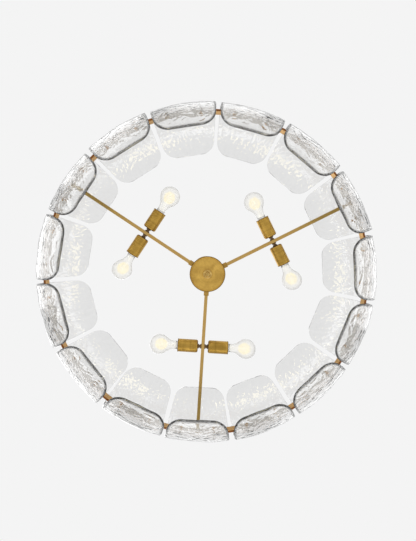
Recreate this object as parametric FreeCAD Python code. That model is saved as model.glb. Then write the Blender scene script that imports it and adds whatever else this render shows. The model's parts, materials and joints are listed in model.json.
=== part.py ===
"""Drum chandelier: fifteen bent glass panels round a brass band, on three arms with six bulbs.

Millimetres, +Z up. The origin is the centre of the canopy's rim, on the ceiling.
The light hangs below it.
"""
import FreeCAD
import Part
import math
import os

V = FreeCAD.Vector

# Clearances
THREAD_GAP = 0.05
RUN_GAP = 0.05
SEAT_GAP = 0.1
SIDE_GAP = 0.3

# Ceiling strap and canopy
BOX_SCREW_PITCH = 88.9
BOX_HOLE_D = 4.8
STRAP_END = 8.0
STRAP_W = 24.0
STRAP_T = 2.5
STRAP_CORNER_R = 6.0
GROUND_SCREW_D = 4.8
GROUND_HEAD_D = 9.6
GROUND_HEAD_T = 2.4
GROUND_SCREW_OFFSET = 17.0
CANOPY_CLEAR = 4.7
CANOPY_H = 26.0
CANOPY_T = 1.5
CANOPY_SHOULDER_R = 12.0
CANOPY_STUD_PITCH = 60.0
CANOPY_STUD_D = 4.0
BALL_NUT_D = 12.0
BALL_NUT_SEAT_D = 6.0
NIPPLE_D = 9.6
WIRE_BORE = 6.4
NIPPLE_GRIP = 6.0
STRAP_NUT_AF = 14.0
STRAP_NUT_T = 4.0

# Hang-straight swivel
SWIVEL_D = 28.0
SWIVEL_CAP_H = 8.0
SWIVEL_CAP_BOSS = 4.0
COLLAR_H = 18.0
COLLAR_LIP_T = 4.0
STUD_D = 12.0
STUD_FLANGE_D = 19.0
STUD_FLANGE_T = 4.0
STUD_GRIP = 10.0
YOKE_D = 30.0
YOKE_TOP_T = 12.0
EAR_T = 5.5
EAR_R = 13.0
KNUCKLE_W = 14.4
KNUCKLE_R = 11.0
KNUCKLE_NECK_D = 13.0
KNUCKLE_SWING_GAP = 5.0
KNUCKLE_FLANGE_T = 4.0
KNUCKLE_FLANGE_DROP = 3.0
PIVOT_D = 6.0
PIVOT_HEAD_D = 10.0
PIVOT_HEAD_T = 3.0
PIVOT_BORE_WALL = 0.8

# Stem
STEM_D = 16.0
STEM_T = 1.5
UPPER_STEM_L = 150.0
LOWER_STEM_L = 150.0
STEM_GRIP = 12.0
COUPLING_FLANGE_T = 3.0
STEM_FLANGE_RIM = 2.0

# Hub
HUB_D = 108.0
HUB_T = 3.0
HUB_SKIRT = 5.0
HUB_COVER_T = 5.0
HUB_COVER_EDGE_R = 2.5
HUB_LIP_T = 2.0
HUB_LIP_H = 3.0
HUB_NUT_AF = 20.0
HUB_NUT_T = 4.0
FINIAL_D = 28.0
FINIAL_BASE_H = 6.0
FINIAL_KNOB_D = 15.0
FINIAL_KNOB_H = 9.0
FINIAL_GRIP = 5.0

# Arms
ARM_COUNT = 3
FIRST_ARM_ANGLE = -90.0
ARM_W = 10.0
ARM_H = 20.0
ARM_T = 1.5
ARM_PLUG_L = 14.0
ARM_SCREW_D = 4.0
ARM_SCREW_HEAD_D = 8.0
ARM_SCREW_HEAD_T = 2.4
ARM_SCREW_EDGE = 5.0
ARM_ROOT_EDGE = 6.0
ARM_END_SCREW_D = 5.0
ARM_END_SCREW_GRIP = 10.0
COLLAR_WALL = 2.5
COLLAR_L = 12.0

# Ring band and glass panels
PANEL_COUNT = 15
PANEL_SPAN = 21.8
GLASS_OUT_R = 508.0
GLASS_EDGE_R = 401.0
GLASS_H = 240.0
GLASS_T = 8.0
GLASS_CORNER_R = 40.0
GLASS_PAD_T = 5.0
BAND_T = 6.0
BAND_H = 25.4
GLASS_SCREW_ANGLE = 6.0
GLASS_SCREW_D = 4.0
GLASS_SCREW_HEAD_D = 8.0
GLASS_SCREW_HEAD_T = 3.0
GLASS_HOLE_GAP = 1.0
PAD_D = 12.0
WASHER_T = 1.0
CAP_NUT_D = 10.0
CAP_NUT_H = 5.0
CAP_NUT_RIM_H = 2.0

# Lampholders
SOCKET_R = 225.0
SOCKET_REACH = 10.5
CUP_D = 39.0
CUP_L = 62.0
CUP_T = 1.2
CUP_BASE_R = 4.0
HOLDER_L = 50.0
HOLDER_INSET = 1.5
WELL_D = 28.4
WELL_DEPTH = 24.0
SHELL_D = 28.0
SHELL_T = 0.6
SHELL_INSET = 2.0
CONTACT_D = 9.0
CONTACT_T = 1.2
LOCK_NUT_D = 14.0
LOCK_NUT_T = 3.5
NIPPLE_HOLDER_GRIP = 8.0

# Bulbs
CAP_D = 26.2
CAP_THREAD_DEPTH = 0.8
CAP_THREADS = 6
CAP_THREAD_PITCH = 3.6
CAP_BUTTON_D = 9.5
CAP_BUTTON_H = 1.0
CAP_CONE_H = 3.5
GLOBE_D = 60.0
GLOBE_T = 0.9
GLOBE_L = 84.0
GLOBE_NECK_L = 9.0
GLOBE_SHOULDER_ANGLE = 35.0
GLOBE_WAIST = 1.1
FILAMENT_D = 2.0
FILAMENT_L = 36.0
FILAMENT_RING_R = 10.0
FILAMENT_COUNT = 6
MOUNT_D = 8.0
MOUNT_L = 26.0
SUPPORT_WIRE_D = 1.0

# Wiring
LEAD_D = 2.4
LEAD_OFFSET = 1.7
LEAD_BEND_R = 3.3
LEAD_TAIL = 4.0
CONNECTOR_D = 9.0
CONNECTOR_L = 15.0

# Levels, from the ceiling down
canopy_z = -CANOPY_H
collar_top_z = canopy_z - SWIVEL_CAP_H
collar_z = collar_top_z - COLLAR_H
yoke_top_z = collar_z - SIDE_GAP
slot_z = yoke_top_z - YOKE_TOP_T
pivot_z = slot_z - KNUCKLE_R - KNUCKLE_SWING_GAP
knuckle_flange_z = pivot_z - EAR_R - KNUCKLE_FLANGE_DROP
stem_top_z = knuckle_flange_z - KNUCKLE_FLANGE_T
coupling_z = stem_top_z - UPPER_STEM_L
lower_stem_z = coupling_z - COUPLING_FLANGE_T
hub_top_z = lower_stem_z - LOWER_STEM_L
ring_z = hub_top_z - HUB_T - ARM_H / 2
hub_cover_z = ring_z - ARM_H / 2 - HUB_SKIRT
finial_z = hub_cover_z - HUB_COVER_T

# Radii and reaches worked out from the sizes above
strap_l = BOX_SCREW_PITCH + 2 * STRAP_END
canopy_r = math.hypot(strap_l, STRAP_W) / 2 + CANOPY_CLEAR + CANOPY_T
stem_bore_d = STEM_D - 2 * STEM_T
spigot_d = stem_bore_d - 2 * THREAD_GAP
slot_w = KNUCKLE_W + 2 * SIDE_GAP
ear_x = slot_w / 2 + EAR_T
hub_r = HUB_D / 2
root_screw_r = hub_r - HUB_T - ARM_SCREW_EDGE
arm_root_r = root_screw_r - ARM_ROOT_EDGE
band_out_r = GLASS_OUT_R - GLASS_T - GLASS_PAD_T
band_in_r = band_out_r - BAND_T
bend_r = (GLASS_H ** 2 / 4 + (GLASS_OUT_R - GLASS_EDGE_R) ** 2) / (2 * (GLASS_OUT_R - GLASS_EDGE_R))
bend_centre_r = GLASS_OUT_R - bend_r
cup_base = ARM_W / 2 + SOCKET_REACH
cup_mouth = cup_base + CUP_L
holder_top = cup_mouth - HOLDER_INSET
holder_base = holder_top - HOLDER_L
well_floor = holder_top - WELL_DEPTH
cap_tip = well_floor + CONTACT_T + SIDE_GAP
cap_thread_base = cap_tip + CAP_BUTTON_H + CAP_CONE_H
cap_top = cap_thread_base + CAP_THREADS * CAP_THREAD_PITCH
globe_tip = cap_top + GLOBE_L
arm_angles = [FIRST_ARM_ANGLE + 360.0 * k / ARM_COUNT for k in range(ARM_COUNT)]
panel_angles = [FIRST_ARM_ANGLE + 360.0 * k / PANEL_COUNT for k in range(PANEL_COUNT)]


def outward(shape):
    """The same solid with its faces turned outwards."""
    solid = shape.Solids[0] if shape.Solids else Part.Solid(shape)
    if solid.Volume < 0:
        solid.reverse()
    return solid


def face_of(start, *steps):
    """Flat face in the XZ plane: a step is an end point, or a middle and an end point of an arc."""
    edges = []
    here = V(start[0], 0, start[1])
    first = here
    for step in steps:
        if isinstance(step[0], tuple):
            middle = V(step[0][0], 0, step[0][1])
            there = V(step[1][0], 0, step[1][1])
            edges.append(Part.Arc(here, middle, there).toShape())
        else:
            there = V(step[0], 0, step[1])
            edges.append(Part.LineSegment(here, there).toShape())
        here = there
    edges.append(Part.LineSegment(here, first).toShape())
    return Part.Face(Part.Wire(edges))


def lathe(start, *steps):
    """Solid turned about the Z axis from the outline that face_of takes."""
    return outward(face_of(start, *steps).revolve(V(0, 0, 0), V(0, 0, 1), 360))


def rod(diameter, low, high):
    """Upright round bar between two levels on the Z axis."""
    return Part.makeCylinder(diameter / 2, high - low, V(0, 0, low))


def tube(outer, bore, low, high):
    """Upright round tube between two levels on the Z axis."""
    return rod(outer, low, high).cut(rod(bore, low, high))


def block(low, high):
    """Box between two corners."""
    size = [b - a for a, b in zip(low, high)]
    return Part.makeBox(size[0], size[1], size[2], V(*low))


def hexagon(flats, low, high):
    """Upright hexagon prism, given across its flats."""
    corner = flats / math.sqrt(3)
    turns = [math.radians(60 * k) for k in range(7)]
    points = [V(corner * math.cos(turn), corner * math.sin(turn), low) for turn in turns]
    return Part.Face(Part.makePolygon(points)).extrude(V(0, 0, high - low))


def hex_nut(flats, bore, low, high):
    """Upright hexagon nut, given across its flats."""
    return hexagon(flats, low, high).cut(rod(bore, low, high))


def moved(shape, x=0.0, y=0.0, z=0.0):
    """Copy of a shape, shifted."""
    copy = shape.copy()
    copy.translate(V(x, y, z))
    return copy


def spun(shape, angle):
    """Copy of a shape, turned about the Z axis."""
    copy = shape.copy()
    copy.rotate(V(0, 0, 0), V(0, 0, 1), angle)
    return copy


def along_x(shape):
    """Copy of an upright shape laid down, so that its +Z points along +X."""
    copy = shape.copy()
    copy.rotate(V(0, 0, 0), V(0, 1, 0), 90)
    return copy


def at_socket(shape, side):
    """Copy of an upright shape laid square to an arm on the X axis, pointing to its +Y or -Y side."""
    copy = shape.copy()
    copy.rotate(V(0, 0, 0), V(1, 0, 0), -90 * side)
    copy.translate(V(SOCKET_R, 0, ring_z))
    return copy


def pan_screw(diameter, length, head_d, head_t):
    """Screw along +Z with the underside of its head at 0, its head below and a hexagon recess in it."""
    head = rod(head_d, -head_t, 0).cut(hexagon(head_d / 2, -head_t, -head_t / 2))
    return head.fuse(rod(diameter, 0, length)).removeSplitter()


def each_arm(shapes):
    """Copies of shapes made for an arm on the X axis, at every arm."""
    return [spun(shape, angle) for angle in arm_angles for shape in shapes]


def each_socket(shape):
    """Copies of an upright lampholder piece at both sides of every arm."""
    return each_arm([at_socket(shape, 1), at_socket(shape, -1)])


def mounting_strap():
    """Flat steel bar with two outlet-box holes, tapped holes for the studs, the nipple and the ground."""
    bar = block((-strap_l / 2, -STRAP_W / 2, -STRAP_T), (strap_l / 2, STRAP_W / 2, 0))
    upright = [e for e in bar.Edges if e.BoundBox.ZLength > STRAP_T / 2]
    bar = bar.makeFillet(STRAP_CORNER_R, upright)
    holes = [rod(NIPPLE_D + 2 * THREAD_GAP, -STRAP_T, 0)]
    for side in (-1, 1):
        holes.append(moved(rod(BOX_HOLE_D, -STRAP_T, 0), side * BOX_SCREW_PITCH / 2))
        holes.append(moved(rod(CANOPY_STUD_D + 2 * THREAD_GAP, -STRAP_T, 0), side * CANOPY_STUD_PITCH / 2))
    holes.append(moved(rod(GROUND_SCREW_D + 2 * THREAD_GAP, -STRAP_T, 0), GROUND_SCREW_OFFSET))
    return bar.cut(holes)


def strap_nipple():
    """Hollow threaded nipple from the strap down through the canopy into the swivel cap."""
    return tube(NIPPLE_D, WIRE_BORE, canopy_z - NIPPLE_GRIP, -SEAT_GAP)


def strap_lock_nut():
    """Nut that locks the nipple under the strap."""
    return hex_nut(STRAP_NUT_AF, NIPPLE_D + 2 * THREAD_GAP, -STRAP_T - STRAP_NUT_T, -STRAP_T)


def ground_screw():
    """Screw for the earth wire, in the strap, with its head downwards."""
    screw = pan_screw(GROUND_SCREW_D, STRAP_T - SEAT_GAP, GROUND_HEAD_D, GROUND_HEAD_T)
    return moved(screw, GROUND_SCREW_OFFSET, 0, -STRAP_T)


def canopy():
    """Spun ceiling dish with a rounded shoulder, open at the ceiling."""
    inner = CANOPY_SHOULDER_R - CANOPY_T
    centre = (canopy_r - CANOPY_SHOULDER_R, canopy_z + CANOPY_SHOULDER_R)
    slant = math.sqrt(0.5)
    hole = NIPPLE_D / 2 + SIDE_GAP
    dish = lathe(
        (canopy_r, 0),
        (canopy_r, centre[1]),
        ((centre[0] + CANOPY_SHOULDER_R * slant, centre[1] - CANOPY_SHOULDER_R * slant),
         (centre[0], canopy_z)),
        (hole, canopy_z),
        (hole, canopy_z + CANOPY_T),
        (centre[0], canopy_z + CANOPY_T),
        ((centre[0] + inner * slant, centre[1] - inner * slant), (canopy_r - CANOPY_T, centre[1])),
        (canopy_r - CANOPY_T, 0),
    )
    hole_d = CANOPY_STUD_D + 2 * SIDE_GAP
    holes = [moved(rod(hole_d, canopy_z, 0), side * CANOPY_STUD_PITCH / 2) for side in (-1, 1)]
    return dish.cut(holes)


def canopy_studs():
    """Two threaded studs that hang from the strap and carry the canopy."""
    stud = rod(CANOPY_STUD_D, canopy_z - BALL_NUT_D / 2, -SEAT_GAP)
    return [moved(stud, side * CANOPY_STUD_PITCH / 2) for side in (-1, 1)]


def canopy_ball_nuts():
    """Two ball nuts under the canopy, each with a flat seat and a blind tapped hole."""
    radius = BALL_NUT_D / 2
    drop = math.sqrt(radius ** 2 - BALL_NUT_SEAT_D ** 2 / 4)
    ball = Part.makeSphere(radius, V(0, 0, canopy_z - drop))
    ball = ball.cut(block((-radius, -radius, canopy_z), (radius, radius, canopy_z + radius)))
    ball = ball.cut(rod(CANOPY_STUD_D + 2 * THREAD_GAP, canopy_z - radius - SEAT_GAP, canopy_z + radius))
    return [moved(ball, side * CANOPY_STUD_PITCH / 2) for side in (-1, 1)]


def swivel_cap():
    """Round cap on the nipple with a threaded boss that closes the swivel collar."""
    boss_d = STUD_FLANGE_D + 2 * SIDE_GAP - 2 * THREAD_GAP
    cap = rod(SWIVEL_D, collar_top_z, canopy_z)
    cap = cap.fuse(rod(boss_d, collar_top_z - SWIVEL_CAP_BOSS, canopy_z)).removeSplitter()
    bore_z = canopy_z - NIPPLE_GRIP - SEAT_GAP
    cap = cap.cut(rod(NIPPLE_D + 2 * THREAD_GAP, bore_z, canopy_z))
    return cap.cut(rod(WIRE_BORE, collar_top_z - SWIVEL_CAP_BOSS, canopy_z))


def swivel_collar():
    """Round cup whose lip carries the flange of the swivel stud."""
    collar = rod(SWIVEL_D, collar_z, collar_top_z)
    collar = collar.cut(rod(STUD_FLANGE_D + 2 * SIDE_GAP, collar_z + COLLAR_LIP_T, collar_top_z))
    return collar.cut(rod(STUD_D + 2 * RUN_GAP, collar_z, collar_top_z))


def swivel_stud():
    """Hollow flanged stud that turns on the collar's lip and screws into the yoke."""
    flange_z = collar_z + COLLAR_LIP_T
    stud = rod(STUD_FLANGE_D, flange_z, flange_z + STUD_FLANGE_T)
    stud = stud.fuse(rod(STUD_D, yoke_top_z - STUD_GRIP, flange_z + STUD_FLANGE_T)).removeSplitter()
    return stud.cut(rod(WIRE_BORE, yoke_top_z - STUD_GRIP, flange_z + STUD_FLANGE_T))


def swivel_yoke():
    """Fork with two flat rounded ears that carry the pivot screws."""
    low = pivot_z - EAR_R
    body = rod(YOKE_D, low, yoke_top_z)
    cheeks = block((-ear_x, -EAR_R, pivot_z), (ear_x, EAR_R, slot_z))
    ends = moved(along_x(rod(2 * EAR_R, -ear_x, ear_x)), z=pivot_z)
    body = body.common(rod(YOKE_D, slot_z, yoke_top_z).fuse([cheeks, ends])).removeSplitter()
    body = body.cut(block((-slot_w / 2, -YOKE_D, low), (slot_w / 2, YOKE_D, slot_z)))
    body = body.cut(rod(STUD_D + 2 * THREAD_GAP, yoke_top_z - STUD_GRIP - SEAT_GAP, yoke_top_z))
    body = body.cut(rod(WIRE_BORE, slot_z, yoke_top_z))
    return body.cut(moved(along_x(rod(PIVOT_D + 2 * RUN_GAP, -ear_x, ear_x)), z=pivot_z))


def stem_knuckle():
    """Hollow tongue between the yoke's ears, with a flange and a spigot for the upper stem."""
    eye = moved(along_x(rod(2 * KNUCKLE_R, -KNUCKLE_W / 2, KNUCKLE_W / 2)), z=pivot_z)
    neck = rod(KNUCKLE_NECK_D, knuckle_flange_z, pivot_z)
    flange = rod(STEM_D + 2 * STEM_FLANGE_RIM, stem_top_z, knuckle_flange_z)
    spigot = rod(spigot_d, stem_top_z - STEM_GRIP, knuckle_flange_z)
    body = eye.fuse([neck, flange, spigot]).removeSplitter()
    body = body.cut(rod(WIRE_BORE, stem_top_z - STEM_GRIP, pivot_z + KNUCKLE_R))
    tapped = rod(PIVOT_D + 2 * THREAD_GAP, -KNUCKLE_W / 2, KNUCKLE_W / 2)
    return body.cut(moved(along_x(tapped), z=pivot_z))


def pivot_screws():
    """Two shoulder screws, one in each ear, that leave the wire bore between them clear."""
    inner_x = WIRE_BORE / 2 + PIVOT_BORE_WALL
    head_x = ear_x + SEAT_GAP
    screw = pan_screw(PIVOT_D, head_x - inner_x, PIVOT_HEAD_D, PIVOT_HEAD_T)
    right = moved(along_x(screw), -head_x, 0, pivot_z)
    return [right, spun(right, 180)]


def upper_stem():
    """Upper length of the hanging stem."""
    return tube(STEM_D, stem_bore_d, coupling_z, stem_top_z)


def stem_coupling():
    """Flanged coupling with a spigot into each length of stem."""
    body = rod(spigot_d, lower_stem_z - STEM_GRIP, coupling_z + STEM_GRIP)
    body = body.fuse(rod(STEM_D + 2 * STEM_FLANGE_RIM, lower_stem_z, coupling_z)).removeSplitter()
    return body.cut(rod(WIRE_BORE, lower_stem_z - STEM_GRIP, coupling_z + STEM_GRIP))


def lower_stem():
    """Lower length of the hanging stem, standing on the hub."""
    return tube(STEM_D, stem_bore_d, hub_top_z, lower_stem_z)


def hub_nipple():
    """Hollow nipple from the lower stem through the hub to the finial, with a wire window at each arm."""
    low = finial_z - FINIAL_GRIP
    body = tube(spigot_d, WIRE_BORE, low, hub_top_z + STEM_GRIP)
    window = moved(along_x(rod(LEAD_D + 2 * LEAD_OFFSET, 0, spigot_d)), z=ring_z)
    return body.cut([spun(window, angle) for angle in arm_angles])


def hub_lock_nut():
    """Nut that clamps the hub body to the lower stem."""
    top = hub_top_z - HUB_T
    return hex_nut(HUB_NUT_AF, spigot_d + 2 * THREAD_GAP, top - HUB_NUT_T, top)


def hub_body():
    """Round cup, open below, with a window for each arm and a screw hole over each arm."""
    body = rod(HUB_D, hub_cover_z, hub_top_z)
    body = body.cut(rod(HUB_D - 2 * HUB_T, hub_cover_z, hub_top_z - HUB_T))
    top_edge = [e for e in body.Edges if abs(e.BoundBox.ZMin - hub_top_z) < SEAT_GAP]
    body = body.makeFillet(HUB_T / 2, top_edge)
    body = body.cut(rod(spigot_d + 2 * THREAD_GAP, hub_top_z - HUB_T, hub_top_z))
    half_w = ARM_W / 2 + SEAT_GAP
    low_z = ring_z - ARM_H / 2 - SEAT_GAP
    window = block((arm_root_r, -half_w, low_z), (HUB_D, half_w, ring_z + ARM_H / 2))
    hole = moved(rod(ARM_SCREW_D + 2 * SIDE_GAP, hub_top_z - HUB_T, hub_top_z), root_screw_r)
    return body.cut(each_arm([window, hole]))


def hub_cover():
    """Shallow plate under the hub with a rounded rim and a locating lip."""
    plate = rod(HUB_D, finial_z, hub_cover_z)
    rim = [e for e in plate.Edges if abs(e.BoundBox.ZMax - finial_z) < SEAT_GAP]
    plate = plate.makeFillet(HUB_COVER_EDGE_R, rim)
    lip_d = HUB_D - 2 * HUB_T - 2 * SIDE_GAP
    lip = tube(lip_d, lip_d - 2 * HUB_LIP_T, hub_cover_z, hub_cover_z + HUB_LIP_H)
    return plate.fuse(lip).removeSplitter().cut(rod(spigot_d + 2 * THREAD_GAP, finial_z, hub_cover_z))


def finial():
    """Turned knob that screws on the hub nipple and holds the cover up."""
    base_r = FINIAL_D / 2
    knob_r = FINIAL_KNOB_D / 2
    slant = math.sqrt(0.5)
    step_z = finial_z - FINIAL_BASE_H
    tip_z = step_z - FINIAL_KNOB_H
    round_r = FINIAL_BASE_H / 2
    round_drop = round_r * (1 - slant)
    knob_side_z = tip_z + knob_r
    body = lathe(
        (0, finial_z),
        (base_r, finial_z),
        (base_r, step_z + round_r),
        ((base_r - round_drop, step_z + round_drop), (base_r - round_r, step_z)),
        (knob_r, step_z),
        (knob_r, knob_side_z),
        ((knob_r * slant, knob_side_z - knob_r * slant), (0, tip_z)),
    )
    return body.cut(rod(spigot_d + 2 * THREAD_GAP, finial_z - FINIAL_GRIP - SEAT_GAP, finial_z))


def arm():
    """Rectangular tube on the X axis from inside the hub to the band, plugged at the band."""
    half_h = ARM_H / 2
    body = block((arm_root_r, -ARM_W / 2, ring_z - half_h),
                 (band_in_r - SEAT_GAP, ARM_W / 2, ring_z + half_h))
    hollow = block((arm_root_r, ARM_T - ARM_W / 2, ring_z - half_h + ARM_T),
                   (band_in_r - ARM_PLUG_L, ARM_W / 2 - ARM_T, ring_z + half_h - ARM_T))
    cross_hole = rod(NIPPLE_D + 2 * THREAD_GAP, -ARM_W, ARM_W)
    root_hole = moved(rod(ARM_SCREW_D + 2 * THREAD_GAP, ring_z, ring_z + half_h), root_screw_r)
    end_low = band_out_r - BAND_T - ARM_END_SCREW_GRIP - SEAT_GAP
    end_hole = moved(along_x(rod(ARM_END_SCREW_D + 2 * THREAD_GAP, end_low, band_out_r)), z=ring_z)
    return body.cut([hollow, at_socket(cross_hole, 1), root_hole, end_hole])


def arm_collars():
    """Square ferrule round each arm, against the hub."""
    half_w = ARM_W / 2 + COLLAR_WALL
    half_h = ARM_H / 2 + COLLAR_WALL
    start = hub_r + SEAT_GAP
    ferrule = block((start, -half_w, ring_z - half_h), (start + COLLAR_L, half_w, ring_z + half_h))
    way = block((start, -ARM_W / 2 - SEAT_GAP, ring_z - ARM_H / 2 - SEAT_GAP),
                (start + COLLAR_L, ARM_W / 2 + SEAT_GAP, ring_z + ARM_H / 2 + SEAT_GAP))
    return each_arm([ferrule.cut(way)])


def arm_root_screws():
    """Screws down through the hub's top into each arm."""
    length = HUB_T + ARM_T
    screw = pan_screw(ARM_SCREW_D, length, ARM_SCREW_HEAD_D, ARM_SCREW_HEAD_T)
    screw.rotate(V(0, 0, 0), V(1, 0, 0), 180)
    return each_arm([moved(screw, root_screw_r, 0, hub_top_z)])


def countersink(depth, radius, gap):
    """Cone along +X under the band's outer face for a flush screw head."""
    cone = Part.makeCone(ARM_END_SCREW_D / 2 + gap, radius + gap, depth, V(0, 0, band_out_r - depth))
    return moved(along_x(cone), z=ring_z)


def arm_end_screws():
    """Flush screws from outside the band into the plug of each arm."""
    start = band_in_r - ARM_END_SCREW_GRIP
    depth = ARM_END_SCREW_D / 2
    shank = moved(along_x(rod(ARM_END_SCREW_D, start, band_out_r - depth)), z=ring_z)
    screw = shank.fuse(countersink(depth, ARM_END_SCREW_D, 0)).removeSplitter()
    return each_arm([moved(screw, -SEAT_GAP)])


def radial(shape, angle):
    """Copy of an upright shape laid to point outwards from the axis at an angle, at the ring's level."""
    return spun(moved(along_x(shape), z=ring_z), angle)


def glass_screw_angles():
    """Angles of the fixing screws, two to a panel."""
    return [angle + side * GLASS_SCREW_ANGLE for angle in panel_angles for side in (-1, 1)]


def ring_band():
    """Flat band on edge with a clearance hole for every glass screw and a countersunk hole at each arm."""
    band = tube(2 * band_out_r, 2 * band_in_r, ring_z - BAND_H / 2, ring_z + BAND_H / 2)
    hole = rod(GLASS_SCREW_D + 2 * SIDE_GAP, band_in_r - BAND_T, band_out_r + BAND_T)
    holes = [radial(hole, angle) for angle in glass_screw_angles()]
    depth = ARM_END_SCREW_D / 2
    end_hole = along_x(rod(ARM_END_SCREW_D + 2 * SIDE_GAP, band_in_r - BAND_T, band_out_r + BAND_T))
    sink = countersink(depth, ARM_END_SCREW_D, SIDE_GAP)
    holes += each_arm([moved(end_hole, z=ring_z), sink])
    return band.cut(holes)


def section_ends():
    """Radius and height above the ring of the ends of the bent section's outer and inner arcs."""
    sweep = math.acos((GLASS_EDGE_R - bend_centre_r) / bend_r)
    radii = (bend_r, bend_r - GLASS_T)
    return [(bend_centre_r + r * math.cos(sweep), r * math.sin(sweep)) for r in radii]


def panel_outline():
    """Upright prism with the panel's outline from below: radial sides and two round inner corners."""
    side = PANEL_SPAN / 2
    inner_r = min(end_r for end_r, end_z in section_ends()) - SEAT_GAP
    centre_r = inner_r + GLASS_CORNER_R
    turn = math.degrees(math.asin(GLASS_CORNER_R / centre_r))
    lean = side - turn
    reach = centre_r * math.cos(math.radians(turn))
    far = GLASS_OUT_R + GLASS_T

    def polar(radius, angle):
        return V(radius * math.cos(math.radians(angle)), radius * math.sin(math.radians(angle)), 0)

    def corner_middle(sign):
        centre = polar(centre_r, sign * lean)
        from_side = side + 90
        to_axis = lean + 180
        return centre + polar(GLASS_CORNER_R, sign * (from_side + to_axis) / 2)

    edges = [
        Part.LineSegment(polar(reach, side), polar(far, side)).toShape(),
        Part.Arc(polar(far, side), polar(far, 0), polar(far, -side)).toShape(),
        Part.LineSegment(polar(far, -side), polar(reach, -side)).toShape(),
        Part.Arc(polar(reach, -side), corner_middle(-1), polar(inner_r, -lean)).toShape(),
        Part.Arc(polar(inner_r, -lean), polar(inner_r, 0), polar(inner_r, lean)).toShape(),
        Part.Arc(polar(inner_r, lean), corner_middle(1), polar(reach, side)).toShape(),
    ]
    face = Part.Face(Part.Wire(edges))
    face.translate(V(0, 0, ring_z - GLASS_H))
    return face.extrude(V(0, 0, 2 * GLASS_H))


def glass_panel():
    """C-bent sheet on the X axis: an upright arc section turned about the axis and cut to its outline."""
    ends = section_ends()
    section = face_of(
        (ends[0][0], ring_z - ends[0][1]),
        ((GLASS_OUT_R, ring_z), (ends[0][0], ring_z + ends[0][1])),
        (ends[1][0], ring_z + ends[1][1]),
        ((GLASS_OUT_R - GLASS_T, ring_z), (ends[1][0], ring_z - ends[1][1])),
    )
    section.rotate(V(0, 0, 0), V(0, 0, 1), -PANEL_SPAN)
    sheet = outward(section.revolve(V(0, 0, 0), V(0, 0, 1), 2 * PANEL_SPAN))
    sheet = sheet.common(panel_outline())
    hole = rod(GLASS_SCREW_D + 2 * GLASS_HOLE_GAP, band_out_r, GLASS_OUT_R + GLASS_T)
    return outward(sheet.cut([radial(hole, side * GLASS_SCREW_ANGLE) for side in (-1, 1)]))


def glass_screws():
    """Screws from inside the band out through the glass, two to a panel."""
    head_r = band_in_r - SEAT_GAP
    length = GLASS_OUT_R + SEAT_GAP + WASHER_T + CAP_NUT_H / 2 - head_r
    screw = moved(pan_screw(GLASS_SCREW_D, length, GLASS_SCREW_HEAD_D, GLASS_SCREW_HEAD_T), z=head_r)
    return [radial(screw, angle) for angle in glass_screw_angles()]


def glass_grommets():
    """Soft pad with a sleeve between band and glass, and a soft washer outside, at every screw."""
    bore = GLASS_SCREW_D + 2 * SIDE_GAP
    pad_top = GLASS_OUT_R - GLASS_T - SIDE_GAP
    pad = tube(PAD_D, bore, band_out_r + SEAT_GAP, pad_top)
    sleeve_d = GLASS_SCREW_D + 2 * GLASS_HOLE_GAP - 2 * SEAT_GAP
    pad = pad.fuse(tube(sleeve_d, bore, pad_top, GLASS_OUT_R - SEAT_GAP)).removeSplitter()
    washer = tube(PAD_D, bore, GLASS_OUT_R + SEAT_GAP, GLASS_OUT_R + SEAT_GAP + WASHER_T)
    return [radial(piece, angle) for angle in glass_screw_angles() for piece in (pad, washer)]


def glass_cap_nuts():
    """Low domed nuts outside the glass."""
    seat = GLASS_OUT_R + SEAT_GAP + WASHER_T
    radius = CAP_NUT_D / 2
    straight = seat + CAP_NUT_RIM_H
    top = seat + CAP_NUT_H
    rise = top - straight
    slant = math.sqrt(0.5)
    nut = lathe(
        (0, seat),
        (radius, seat),
        (radius, straight),
        ((radius - rise + rise * slant, straight + rise * slant), (radius - rise, top)),
        (0, top),
    )
    nut = nut.cut(rod(GLASS_SCREW_D + 2 * THREAD_GAP, seat, seat + CAP_NUT_H / 2 + SEAT_GAP))
    return [radial(nut, angle) for angle in glass_screw_angles()]


def socket_nipples():
    """Hollow nipple across each arm, with a wire hole that faces the hub."""
    reach = holder_base + NIPPLE_HOLDER_GRIP
    body = tube(NIPPLE_D, WIRE_BORE, -reach, reach)
    body = at_socket(body, 1)
    window_d = 2 * (LEAD_OFFSET + LEAD_D / 2 + SIDE_GAP)
    window = moved(along_x(rod(window_d, SOCKET_R - NIPPLE_D, SOCKET_R)), z=ring_z)
    return each_arm([body.cut(window)])


def socket_lock_nuts():
    """Round nuts on the cross nipples: one at the arm, one outside and one inside each cup."""
    bore = NIPPLE_D + 2 * THREAD_GAP
    starts = (ARM_W / 2, cup_base - LOCK_NUT_T, cup_base + CUP_T)
    nuts = [tube(LOCK_NUT_D, bore, start, start + LOCK_NUT_T) for start in starts]
    return [nut for piece in nuts for nut in each_socket(piece)]


def socket_cups():
    """Plain brass cup over each lampholder, with a rounded base."""
    radius = CUP_D / 2
    inner = radius - CUP_T
    slant = 1 - math.sqrt(0.5)
    inner_round = CUP_BASE_R - CUP_T
    hole = NIPPLE_D / 2 + SIDE_GAP
    cup = lathe(
        (hole, cup_base),
        (radius - CUP_BASE_R, cup_base),
        ((radius - CUP_BASE_R * slant, cup_base + CUP_BASE_R * slant), (radius, cup_base + CUP_BASE_R)),
        (radius, cup_mouth),
        (inner, cup_mouth),
        (inner, cup_base + CUP_BASE_R),
        ((inner - inner_round * slant, cup_base + CUP_T + inner_round * slant),
         (radius - CUP_BASE_R, cup_base + CUP_T)),
        (hole, cup_base + CUP_T),
    )
    return each_socket(cup)


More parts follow.
